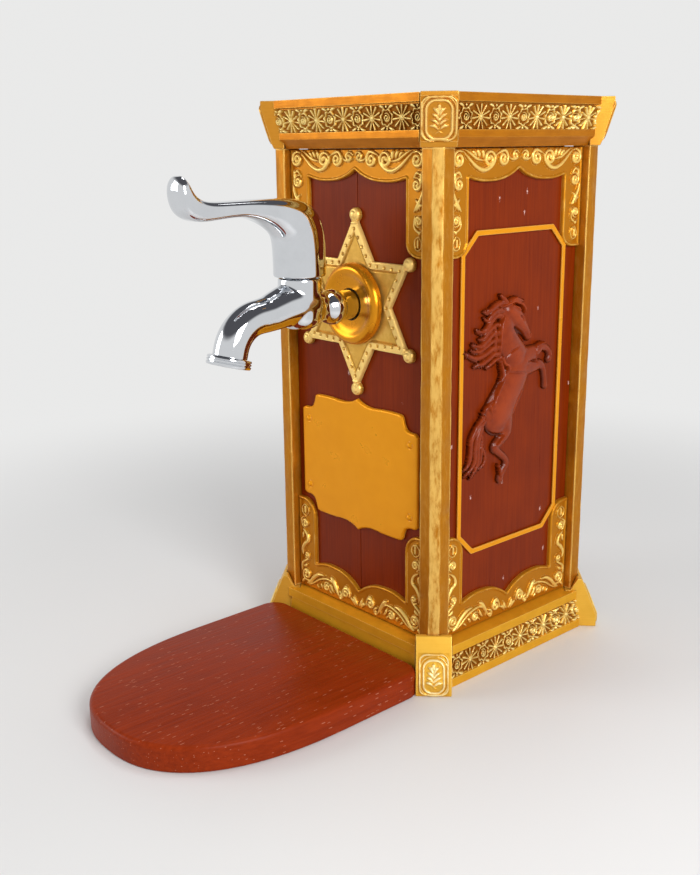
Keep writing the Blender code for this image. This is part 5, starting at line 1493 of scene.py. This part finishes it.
@dataclass
class HorseReliefs:
    """A rearing horse on each side wall, facing the back, with a flowing mane and tail."""

    step: float = 0.26
    boldness: float = 1.35
    flesh: Sequence[tuple[float, Sequence[tuple[float, float, float]]]] = (
        (2.6, ((4.6, 135.6, 7.0), (2.6, 130.6, 8.4), (-0.4, 125.4, 9.0), (-4.2, 120.2, 9.3), (-8.4, 114.6, 9.9),
               (-9.6, 112.6, 8.4))),
        (2.45, ((1.6, 137.4, 7.8), (-2.4, 143.0, 7.0), (-4.8, 149.0, 5.7), (-5.0, 154.0, 5.0), (-4.4, 157.8, 4.2))),
        (2.6, ((-3.4, 157.6, 4.2), (0.8, 154.8, 4.5), (4.6, 151.0, 3.5), (7.6, 147.8, 2.6), (9.2, 145.8, 2.4))),
        (2.3, ((6.8, 136.0, 5.4), (11.6, 137.2, 4.2), (15.4, 138.2, 3.2), (18.6, 139.6, 2.3), (22.2, 138.6, 1.9),
               (24.8, 136.0, 1.8), (24.2, 133.4, 2.0))),
        (2.1, ((7.8, 132.0, 4.6), (13.4, 131.6, 3.3), (18.2, 131.8, 2.5), (20.8, 129.6, 1.8), (21.8, 125.6, 1.6),
               (22.4, 121.8, 2.0))),
        (2.2, ((-4.4, 109.8, 5.6), (-3.6, 105.2, 3.8), (-7.2, 101.8, 3.0), (-11.0, 99.2, 2.4), (-7.6, 96.2, 2.0),
               (-3.8, 93.0, 1.9), (-3.0, 90.2, 2.0), (-5.8, 86.6, 2.0), (-6.6, 84.4, 2.4))),
    )
    locks: Sequence[tuple[float, float, Sequence[Point]]] = (
        (1.3, 2.0, ((-5.6, 160.4), (-9.4, 161.8), (-13.4, 160.8), (-16.4, 159.2), (-20.2, 158.8))),
        (1.2, 1.9, ((-7.0, 158.2), (-11.6, 159.0), (-15.0, 157.4), (-17.4, 155.2), (-19.8, 156.6))),
        (1.4, 2.0, ((-8.0, 156.2), (-12.4, 156.8), (-16.2, 154.0), (-20.0, 150.9), (-24.2, 151.8))),
        (1.2, 1.9, ((-9.0, 152.6), (-13.0, 152.8), (-16.8, 150.6), (-19.8, 148.0), (-22.8, 148.0))),
        (1.4, 2.0, ((-9.6, 149.4), (-14.0, 149.4), (-18.0, 147.0), (-22.0, 144.9), (-26.8, 146.2))),
        (1.2, 1.9, ((-9.8, 146.2), (-14.2, 146.2), (-19.0, 144.2), (-23.0, 142.8), (-27.4, 143.8))),
        (1.4, 2.0, ((-9.6, 143.0), (-14.2, 143.2), (-19.2, 141.2), (-25.0, 140.4), (-31.0, 143.2))),
        (1.3, 2.0, ((-9.4, 140.2), (-13.2, 140.6), (-17.2, 138.8), (-21.0, 137.4), (-25.4, 136.6))),
        (1.0, 1.8, ((-9.0, 138.4), (-12.4, 138.0), (-15.6, 136.2), (-18.4, 135.0))),
        (0.8, 2.9, ((-8.0, 155.8), (-10.0, 152.0), (-10.5, 147.0), (-10.2, 142.0), (-9.2, 138.6))),
        (0.7, 2.2, ((-13.4, 152.6), (-12.7, 148.0), (-12.6, 144.0), (-11.0, 140.2))),
        (1.0, 2.9, ((-8.6, 138.6), (-7.2, 135.8), (-5.0, 134.8), (-4.3, 132.6), (-5.8, 130.2))),
        (0.8, 2.7, ((-9.4, 137.2), (-8.6, 133.8), (-8.0, 131.0), (-9.2, 128.0))),
        (0.9, 2.6, ((-5.2, 161.6), (-1.2, 163.0), (2.6, 161.8), (5.6, 161.0))),
        (0.8, 3.0, ((-1.6, 161.6), (2.4, 160.4), (4.8, 158.0), (5.4, 155.8))),
        (0.7, 3.0, ((-2.6, 160.0), (0.6, 158.8), (2.6, 156.6))),
        (0.8, 2.7, ((-9.6, 160.2), (-4.6, 161.4), (0.6, 162.0), (4.2, 159.8))),
        (1.3, 2.3, ((-5.4, 160.4), (-7.4, 162.8), (-9.8, 165.2))),
        (0.7, 2.3, ((-6.4, 129.0), (-9.4, 125.0), (-12.6, 120.8), (-18.0, 117.6), (-20.0, 113.4))),
        (0.6, 2.8, ((-8.4, 127.4), (-11.6, 123.2), (-13.4, 118.4), (-12.4, 112.0))),
        (0.6, 2.9, ((-12.8, 120.2), (-15.8, 117.8), (-14.6, 114.0), (-15.4, 110.6))),
        (1.3, 2.0, ((-18.6, 114.2), (-22.8, 110.8), (-26.4, 105.2), (-27.0, 98.4), (-28.2, 94.6), (-31.0, 92.6))),
        (1.3, 2.2, ((-18.2, 112.6), (-21.8, 108.6), (-24.2, 103.2), (-24.2, 97.0), (-26.0, 93.0), (-30.8, 89.8))),
        (1.2, 2.0, ((-19.6, 109.4), (-22.2, 103.2), (-22.2, 97.0), (-23.4, 92.4), (-26.8, 88.0))),
        (1.0, 1.9, ((-19.6, 106.0), (-20.2, 100.0), (-20.6, 95.0), (-23.0, 91.2))),
        (0.9, 1.8, ((-20.4, 102.4), (-18.2, 98.4), (-17.8, 95.0), (-19.6, 92.6), (-22.2, 91.4))),
        (0.7, 2.6, ((-6.0, 104.0), (-9.4, 101.2), (-11.6, 100.0))),
        (0.7, 2.2, ((-8.4, 90.6), (-7.6, 87.2), (-6.2, 83.4))),
        (0.6, 2.4, ((14.6, 140.8), (14.0, 137.4), (15.0, 133.8))),
        (0.6, 2.5, ((15.2, 141.0), (18.4, 141.6), (21.6, 140.4))),
    )
    strokes: Sequence[tuple[float, float, Sequence[Point]]] = (
        (1.2, 2.2, ((-0.8, 150.4), (2.8, 147.6), (6.6, 144.6))),
        (0.45, 0.9, ((1.4, 155.4), (3.4, 154.6), (4.6, 153.0))),
        (0.8, 1.1, ((-17.6, 108.6), (-13.0, 105.6), (-7.0, 104.6))),
        (0.6, 0.8, ((8.4, 134.6), (12.0, 134.4), (15.0, 133.4))),
        (0.6, 0.5, ((-5.0, 131.6), (1.0, 130.8), (8.0, 129.8))),
        (0.6, 0.55, ((1.0, 142.0), (-3.0, 140.6), (-6.4, 137.6))),
        (0.7, 0.6, ((5.0, 122.6), (1.6, 118.0), (-0.6, 113.6))),
        (0.6, 0.6, ((20.0, 137.0), (22.0, 136.4), (23.0, 134.6))),
        (0.35, 0.5, ((6.6, 147.0), (8.4, 145.2))),
    )

    def carve(self) -> tuple[Carving, np.ndarray]:
        """Carves one horse and finds its outline from what stands proud."""
        work = Carving((-31.2, 82.6), (26.8, 166.0), self.step, 0.0)
        for height, line in self.flesh:
            self._flesh(work, line, height)
        work.relief = self._softened(work.relief, 5)
        proud = work.relief > 0.3
        # Strokes cut grooves and undercuts, which the red paint darkens with painted shade.
        for width, depth, line in self.strokes:
            cut = Carving((-31.2, 82.6), (26.8, 166.0), self.step, 0.0)
            cut.ridge(line, width, depth, (0.4, 1.0, 0.4))
            work.relief = np.where(proud, np.maximum(work.relief - self._softened(cut.relief, 2), 0.45), work.relief)
        for width, height, line in self.locks:
            work.ridge(line, width, height, (0.75, 1.0, 0.9, 0.25), groove=0.3 * width)
            shifted = [(x + 0.4, y - width * 0.85) for x, y in line]
            work.ridge(shifted, width * 0.4, height * 0.72, (0.8, 1.0, 0.8, 0.2))
        work.dome((3.2, 153.4), 0.6, 3.0)
        work.relief[np.hypot(work.across - 9.4, work.up - 146.4) < 0.5] -= 0.6
        solid = work.relief > 0.25
        work.relief = self._softened(work.relief, 1)
        steep = np.hypot(*np.gradient(work.relief, *work.lines))
        away = (0.45 - work.relief) / np.maximum(steep, 0.35)
        away = np.where(solid, np.minimum(away, 0.6 * self.step), np.maximum(away, -self.step))
        work.relief *= self.boldness
        return work, away

    @staticmethod
    def _softened(relief: np.ndarray, passes: int) -> np.ndarray:
        """The relief after a number of light smoothing passes."""
        soft = relief.copy()
        for _ in range(passes):
            soft[1:-1, 1:-1] = (
                4 * soft[1:-1, 1:-1] + soft[:-2, 1:-1] + soft[2:, 1:-1] + soft[1:-1, :-2] + soft[1:-1, 2:]
            ) / 8
        return soft

    @staticmethod
    def _flesh(work: Carving, line: Sequence[tuple[float, float, float]], height: float) -> None:
        """Raises a rounded limb whose half width is given at each point."""
        wide = max(width for _, _, width in line)
        route = smooth_line([(x, y) for x, y, _ in line], 8)
        shares = [width / wide for _, _, width in line]
        work.ridge(route, wide, height, shares, smoothed=False)

    def build(self) -> None:
        """Makes the two horses from one carving."""
        work, away = self.carve()
        for side in (Side.RIGHT, Side.LEFT):
            place = on_wall(side, 46.6, flip=side is Side.LEFT)
            piece = work.sheet(f"{side.label}_horse", place, -0.2, away, 4.1, pierced=True)
            finish_piece(piece, HORSE_RED, Body.CABINET, [side.label + "_horse_relief"])


@dataclass
class Tap:
    """The chrome tap: body with shank and spout, nozzle ring, and the hood that runs out into its lever."""

    barrel_top: float = 174.8
    shank_radius: float = 6.3
    spout_radius: float = 7.0
    nozzle: float = 115.4
    mouth: float = 142.9
    bend: float = 15.4
    lean: float = 75.0
    voxel: float = 0.3

    def build(self) -> None:
        """Builds the tap's parts."""
        self._body()
        self._nozzle_ring()
        self._hood()
        self._ring()

    @staticmethod
    def _forward() -> Matrix:
        """Local Z runs forward along the shank from the cabinet's axis."""
        return Matrix.Translation((0, 0, TAP_HEIGHT)) @ Matrix.Rotation(math.radians(90), 4, "X")

    @staticmethod
    def _upright(distance: float) -> Matrix:
        """Local Z is an upright line in front of the cabinet's axis."""
        return Matrix.Translation((0, -distance, 0))

    def _body(self) -> None:
        """The barrel, the shank and the spout, melted into one smooth casting."""
        foot = TAP_HEIGHT - 7.2
        barrel = [(8.9, self.barrel_top), (9.0, self.barrel_top - 0.5), (8.9, 168.0), (8.7, 162.0)]
        for turn in np.radians(np.arange(0, 91, 15)):
            barrel.append((3.4 + 5.2 * math.cos(turn), foot + 5.2 * (1 - math.sin(turn))))
        rings = [(0, self.barrel_top)] + barrel + [(0, foot)]
        parts = [turned("barrel", rings, self._upright(BARREL_DISTANCE), 192)]
        shank = [
            (0, 29.0), (5.9, 29.0), (6.3, 29.4), (6.3, 58.4), (7.0, 58.8), (7.5, 60.0), (7.6, 61.6), (7.3, 63.4),
            (6.5, 65.2), (5.8, 67.0), (5.6, 68.6), (6.0, 70.6), (7.0, 73.0), (7.4, BARREL_DISTANCE),
            (0, BARREL_DISTANCE),
        ]
        parts.append(turned("shank", shank, self._forward(), 192))
        parts.append(self._spout())
        start_clean()
        for part in parts:
            part.select_set(True)
        bpy.context.view_layer.objects.active = parts[0]
        bpy.ops.object.join()
        piece = parts[0]
        piece.name = piece.data.name = "tap_casting"
        remesh = piece.modifiers.new("melt", "REMESH")
        remesh.mode = "VOXEL"
        remesh.voxel_size = self.voxel * MM
        remesh.use_smooth_shade = True
        melt = piece.modifiers.new("flow", "SMOOTH")
        melt.factor = 0.5
        melt.iterations = 70
        apply_modifiers(piece)
        self._flatten_top(piece)
        smooth(piece, 60.0)
        finish_piece(piece, CHROME, Body.CABINET, ["tap_body"])

    def _flatten_top(self, piece: bpy.types.Object) -> None:
        """Cuts the barrel's top flat again, just under the hood."""
        start_clean()
        piece.select_set(True)
        bpy.context.view_layer.objects.active = piece
        bpy.ops.object.mode_set(mode="EDIT")
        bpy.ops.mesh.select_all(action="SELECT")
        cut = (0, -BARREL_DISTANCE * MM, (self.barrel_top - 0.4) * MM)
        bpy.ops.mesh.bisect(plane_co=cut, plane_no=(0, 0, 1), use_fill=True, clear_outer=True)
        bpy.ops.object.mode_set(mode="OBJECT")

    def _spout(self) -> bpy.types.Object:
        """The spout's tube: forward, round a bend, then down to the leaning mouth, with a bore."""
        slope = math.radians(self.lean)
        drop = TAP_HEIGHT - self.bend * (1 - math.cos(slope)) - self.mouth
        start = self.nozzle - self.bend * math.sin(slope) - drop / math.tan(slope)
        rings = []
        route: list[tuple[float, float, float, float]] = [
            (74.0, TAP_HEIGHT + 4.0, 0.0, 9.2), (82.0, TAP_HEIGHT + 3.8, 0.0, 9.0), (88.0, TAP_HEIGHT + 2.6, 8.0, 8.3),
            (92.5, TAP_HEIGHT + 1.4, 8.0, 7.7), (96.0, TAP_HEIGHT + 0.5, 6.0, 7.2),
        ]
        for turn in np.arange(5, self.lean + 1, 5):
            angle = math.radians(turn)
            forward, down = self.bend * math.sin(angle), self.bend * (1 - math.cos(angle))
            route.append((start + forward, TAP_HEIGHT - down, turn, self.spout_radius))
        for back, radius in ((0.1, self.spout_radius), (0.1, 5.2), (5.0, 5.2), (5.0, 0.05)):
            distance, height = self.nozzle - back * math.cos(slope), self.mouth + back * math.sin(slope)
            route.append((distance, height, self.lean, radius))
        for distance, height, turn, radius in route:
            angle = math.radians(turn)
            flat = circle_points(radius, 128)
            up = np.array([0, -math.sin(angle), math.cos(angle)])
            rings.append(np.array([0, -distance, height]) + flat[:, :1] * np.array([1.0, 0, 0]) + flat[:, 1:2] * up)
        return loft("spout", rings)

    def _nozzle_ring(self) -> None:
        """The ring at the mouth, with two fine grooves."""
        high = 4.0
        profile = [(6.9, high), (7.9, high), (8.7, high - 0.35), (8.95, high - 0.9)]
        for middle in (high - 1.4, high - 2.5):
            profile += [(8.95, middle + 0.25), (8.55, middle + 0.1), (8.55, middle - 0.1), (8.95, middle - 0.25)]
        profile += [(8.95, 0.5), (8.75, 0.15), (8.3, 0.0), (5.6, 0.0), (5.4, 0.3), (5.4, 2.0), (6.9, 2.0), (6.9, high)]
        seat = Matrix.Translation((0, -self.nozzle, self.mouth)) @ Matrix.Rotation(math.radians(self.lean - 90), 4, "X")
        piece = turned("nozzle_collar", profile, seat, 128, close=False)
        smooth(piece, 35.0)
        finish_piece(piece, CHROME, Body.CABINET, ["nozzle_ring"])

    def _hood(self) -> None:
        """The hood and its lever, one skin that leans over from upright to forward."""
        pairs = [
            ((8.4, 177.6), (-8.4, 177.6), 8.4, 2.0), ((8.4, 175.3), (-8.4, 175.3), 8.4, 2.0),
            ((8.8, 175.1), (-8.8, 175.1), 8.8, 2.0), ((10.3, 175.1), (-10.3, 175.1), 10.3, 2.0),
            ((10.65, 175.4), (-10.65, 175.4), 10.65, 2.0), ((10.7, 176.2), (-10.7, 176.2), 10.7, 2.0),
            ((10.7, 180.0), (-10.7, 180.0), 10.7, 2.0), ((10.75, 184.0), (-10.7, 184.5), 10.65, 2.05),
            ((10.9, 187.2), (-10.5, 189.0), 10.55, 2.1), ((11.3, 189.6), (-9.8, 193.6), 10.35, 2.15),
            ((12.0, 191.3), (-8.5, 197.8), 10.0, 2.2), ((13.1, 192.7), (-6.2, 201.4), 9.6, 2.3),
            ((14.6, 194.0), (-2.6, 204.1), 9.0, 2.4), ((16.6, 195.4), (2.2, 205.6), 8.4, 2.5),
            ((19.2, 196.9), (8.0, 206.3), 7.8, 2.7), ((22.4, 198.3), (14.4, 206.5), 7.2, 2.9),
            ((26.2, 199.4), (21.0, 206.5), 6.7, 3.1), ((30.6, 200.0), (27.6, 206.4), 6.4, 3.3),
            ((36.0, 199.9), (34.4, 206.3), 6.25, 3.5), ((41.6, 199.5), (40.4, 206.3), 6.2, 3.6),
            ((46.4, 199.2), (44.6, 206.6), 6.2, 3.6), ((50.4, 199.5), (47.8, 207.4), 6.2, 3.6),
            ((53.6, 200.7), (50.2, 208.8), 6.2, 3.6), ((56.0, 202.8), (51.8, 210.6), 6.2, 3.5),
            ((57.5, 205.8), (52.7, 212.4), 6.1, 3.2), ((58.3, 209.4), (53.3, 213.8), 5.75, 2.8),
            ((58.2, 212.6), (53.9, 214.9), 5.0, 2.5), ((57.4, 214.8), (54.6, 215.7), 3.8, 2.2),
            ((56.6, 215.8), (55.4, 216.1), 2.2, 2.0),
        ]
        rings = []
        turn = 2 * np.pi * np.arange(64) / 64
        for (front, low), (back, high), wide, power in self._between(pairs):
            first = np.array([0.0, -BARREL_DISTANCE - front, low])
            last = np.array([0.0, -BARREL_DISTANCE - back, high])
            middle, half = (first + last) / 2, (last - first) / 2
            c, s = np.cos(turn), np.sin(turn)
            x = wide * np.sign(c) * np.abs(c) ** (2 / power)
            y = np.sign(s) * np.abs(s) ** (2 / power)
            rings.append(middle + np.outer(x, [1.0, 0, 0]) + np.outer(y, half))
        piece = loft("hood_and_lever", rings)
        finer = piece.modifiers.new("finer", "SUBSURF")
        finer.levels = finer.render_levels = 1
        apply_modifiers(piece)
        smooth(piece, 50.0)
        finish_piece(piece, CHROME, Body.LEVER, ["tap_handle"])

    @staticmethod
    def _between(pairs: list) -> list:
        """The listed rings with three more drawn smoothly between each two above the hood's foot."""
        rows = np.array([[*front, *back, wide, power] for front, back, wide, power in pairs])
        fixed, free = rows[:5], rows[5:]
        given = np.vstack([free[0], free, free[-1]])
        dense = []
        for index in range(1, len(given) - 2):
            a, b, c, d = given[index - 1 : index + 3]
            for t in np.arange(4) / 4:
                dense.append(
                    0.5 * (2 * b + (c - a) * t + (2 * a - 5 * b + 4 * c - d) * t**2 + (3 * b - a - 3 * c + d) * t**3)
                )
        dense.append(free[-1])
        return [((r[0], r[1]), (r[2], r[3]), r[4], r[5]) for r in [*fixed, *dense]]

    def _ring(self) -> None:
        """The domed gold ring on the badge round the shank."""
        seat, bore, width, height = 49.2, 6.9, 10.6, 3.6
        shape = smooth_line(
            [(0.0, 0.6), (0.25, 0.64), (0.45, 0.75), (0.62, 0.95), (0.77, 1.0), (0.89, 0.85), (0.97, 0.5), (1.0, 0.0)], 5
        )
        profile = [(bore, seat + 0.6 * height)] + [(bore + width * out, seat + height * up) for out, up in shape]
        profile += [(8.8, seat), (8.8, seat + 1.5), (bore, seat + 1.5), (bore, seat + 0.6 * height)]
        piece = turned("shank_ring", profile, self._forward(), 128, close=False)
        smooth(piece, 50.0)
        finish_piece(piece, RING_GOLD, Body.CABINET, ["tap_ring"])


@dataclass
class Tray:
    """The tray: a slab with a blunt round nose and eased edges."""

    half_width: float = 50.9
    back: float = 56.5
    end: float = 179.3
    nose: float = 79.3
    power: float = 2.42
    corner: float = 9.0
    thickness: float = 11.0
    ease: float = 2.0
    foot_share: float = 0.4

    def outline(self, inset: float) -> np.ndarray:
        """The outline in plan, moved in by a distance, with 240 points."""
        half = [(0.0, self.back + inset)]
        radius = self.corner - inset
        for turn in np.radians(np.linspace(90, 0, 12)):
            x = self.half_width - self.corner + radius * math.cos(turn)
            half.append((x, self.back + self.corner - radius * math.sin(turn)))
        start = self.end - self.nose
        for turn in np.linspace(0, math.pi / 2, 108):
            x = (self.half_width - inset) * math.cos(turn) ** (2 / self.power)
            y = start + (self.nose - inset) * math.sin(turn) ** (2 / self.power)
            half.append((x if turn < math.pi / 2 - 1e-6 else 0.0, y))
        left = [(-x, y) for x, y in reversed(half[1:-1])]
        return np.array([(x, -y) for x, y in half + left])

    def build(self) -> None:
        """Builds the tray."""
        rings = []
        turns = np.radians(np.linspace(0, 90, 7))
        for turn in turns:
            foot = self.foot_share * self.ease
            rings.append((foot * (1 - math.sin(turn)), foot * (1 - math.cos(turn))))
        for turn in turns[::-1]:
            rings.append((self.ease * (1 - math.sin(turn)), self.thickness - self.ease * (1 - math.cos(turn))))
        shaped = []
        for inset, height in rings:
            flat = self.outline(inset)
            shaped.append(np.column_stack([flat, np.full(len(flat), height)]))
        piece = loft("tray_slab", shaped)
        smooth(piece, 35.0)
        finish_piece(piece, TRAY_RED, Body.CABINET, ["tray"])


@dataclass
class PlainNodes:
    """CAD nodes that are hidden or right as they are, and only get a better finish."""

    finishes: dict = field(default_factory=lambda: {
        "floor_panel": PANEL_RED, "shelf_cleat_left": PANEL_RED, "shelf_cleat_right": PANEL_RED,
        "outer_washer": RUBBER, "inner_washer": RUBBER, "stem_o_ring": RUBBER, "lock_nut": STEEL,
        "valve_plug": STEEL, "bonnet_nut": STEEL, "handle_grub_screw": STEEL,
        "tray_screw_left": STEEL, "tray_screw_right": STEEL,
    })

    def build(self) -> None:
        """Gives each node its finish."""
        for name, finish in self.finishes.items():
            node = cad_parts[name]
            node.data.materials.clear()
            node.data.materials.append(finish.material())
            LOG.info("%s: %s", name, finish.name)


# ---- The studio


@dataclass
class Studio:
    """The pale floor, the soft lamps, the world and the camera."""

    focal_pixels: float = 1069.56
    azimuth: float = 48.533
    elevation: float = 15.2815
    roll: float = -0.6741
    place: tuple[float, float, float] = (339.66, -352.28, 226.04)
    long_side: float = 875.0
    sensor: float = 36.0

    def build(self) -> None:
        """Builds the studio."""
        self._floor()
        self._world()
        self._lamp("key", (700, -230, 430), (0, 0, 120), 340, 4.6)
        self._lamp("fill", (-620, -720, 420), (0, 0, 120), 420, 2.7)
        self._lamp("top", (-80, 120, 900), (0, 0, 100), 380, 2.1)
        self._camera()
        bpy.context.scene.view_settings.view_transform = "Standard"

    @staticmethod
    def _floor() -> None:
        """A wide pale floor at the height that the cabinet stands on, which fades into the background."""
        start_clean()
        bpy.ops.mesh.primitive_plane_add(size=24.0, location=(0, 0, -0.0001))
        floor = bpy.context.object
        floor.name = floor.data.name = "studio_floor"
        kit, shader, place = started_material("pale_floor")
        cloud = kit.noise(place, 3.0, 3.0)
        kit.tree.links.new(kit.blend(cloud, (0.77, 0.765, 0.755), (0.80, 0.80, 0.795)), shader.inputs["Base Color"])
        shader.inputs["Roughness"].default_value = 0.45
        shader.inputs["Specular IOR Level"].default_value = 0.2
        path = kit.add("LightPath")
        seen = kit.math("MAXIMUM", path.outputs["Is Camera Ray"], path.outputs["Is Glossy Ray"])
        seen = kit.math("MAXIMUM", seen, path.outputs["Is Transmission Ray"])
        away = kit.add("VectorMath", {0: place}, operation="LENGTH").outputs["Value"]
        share = kit.math("MULTIPLY", kit.step(away, 0.17, 0.5), seen)
        glow = kit.add("Emission", {"Color": (0.82, 0.82, 0.815, 1.0)})
        mixed = kit.add("MixShader", {0: share, 1: shader.outputs[0], 2: glow.outputs[0]})
        kit.tree.links.new(mixed.outputs[0], kit.tree.nodes["Material Output"].inputs["Surface"])
        floor.data.materials.append(_MATERIALS["pale_floor"])

    @staticmethod
    def _world() -> None:
        """A plain world: pale to the side where it is seen or mirrored, dim overhead, soft where it lights."""
        world = bpy.data.worlds.new("studio_world")
        world.use_nodes = True
        bpy.context.scene.world = world
        kit = Wiring(world.node_tree)
        shell = world.node_tree.nodes["Background"]
        path = kit.add("LightPath")
        seen = kit.math("MAXIMUM", path.outputs["Is Camera Ray"], path.outputs["Is Glossy Ray"])
        seen = kit.math("MAXIMUM", seen, path.outputs["Is Transmission Ray"])
        height = kit.add("SeparateXYZ", {0: kit.add("TexCoord").outputs["Generated"]}).outputs["Z"]
        backdrop = kit.blend(kit.step(height, 0.4, 0.62), (0.82, 0.82, 0.815), (0.10, 0.10, 0.11))
        kit.tree.links.new(kit.blend(seen, (0.36, 0.36, 0.365), backdrop), shell.inputs["Color"])

    @staticmethod
    def _lamp(name: str, place: Sequence[float], aim: Sequence[float], size: float, power: float) -> None:
        """A square soft lamp.

        Args:
            name: The lamp's name.
            place: Where it stands, in millimetres.
            aim: The point that it faces.
            size: Its side.
            power: Its power in watts.
        """
        data = bpy.data.lights.new(name + "_lamp", "AREA")
        data.size = size * MM
        data.energy = power
        lamp = bpy.data.objects.new(name + "_lamp", data)
        bpy.context.scene.collection.objects.link(lamp)
        lamp.location = Vector(place) * MM
        lamp.rotation_euler = (Vector(aim) - Vector(place)).to_track_quat("-Z", "Y").to_euler()

    def _camera(self) -> None:
        """The camera as solved from the photograph."""
        a, e, r = (math.radians(v) for v in (self.azimuth, self.elevation, self.roll))
        back = Vector((math.sin(a) * math.cos(e), -math.cos(a) * math.cos(e), math.sin(e)))
        level = Vector((math.cos(a), math.sin(a), 0))
        over = back.cross(level)
        right = math.cos(r) * level + math.sin(r) * over
        up = -math.sin(r) * level + math.cos(r) * over
        data = bpy.data.cameras.new("camera")
        data.sensor_width = self.sensor
        data.lens = self.focal_pixels / self.long_side * self.sensor
        data.clip_start = 0.01
        data.clip_end = 30.0
        camera = bpy.data.objects.new("camera", data)
        bpy.context.scene.collection.objects.link(camera)
        camera.location = Vector(self.place) * MM
        camera.rotation_euler = Matrix((right, up, back)).transposed().to_euler()
        bpy.context.scene.camera = camera


def main() -> None:
    """Builds the studio and every part in order."""
    logging.basicConfig(level=logging.INFO, format="%(name)s %(message)s")
    Studio().build()
    PlainNodes().build()
    EasedParts().build()
    Posts().build()
    ScrollFrames().build()
    crown_shifts = {Side.RIGHT: 3.1, Side.LEFT: 3.1}
    FlowerBand("crown", 231.4, 240.9, 52.2, 53.8, 14.2).build(list(Side), crown_shifts)
    FlowerBand("base", 4.0, 13.8, 55.0, 53.6, 15.4).build([Side.RIGHT, Side.BACK, Side.LEFT], {Side.RIGHT: 1.6})
    crown_face = ((71.8, 227.5), (76.1, 241.4), (76.1, 245.0))
    base_face = ((79.4, 0.0), (79.4, 6.0), (73.7, 20.3))
    Medallion("crown", crown_face, 5.2, 234.8, 7.2, (226.9, 243.4), CROWN_MEDAL_GOLD).build()
    Medallion("base", base_face, 4.7, 8.6, 7.0, (0.4, 18.0), BASE_MEDAL_GOLD).build()
    NamePlate().build()
    StarBadge().build()
    HorseReliefs().build()
    Tap().build()
    Tray().build()
    start_clean()


if __name__ == "__main__":
    main()
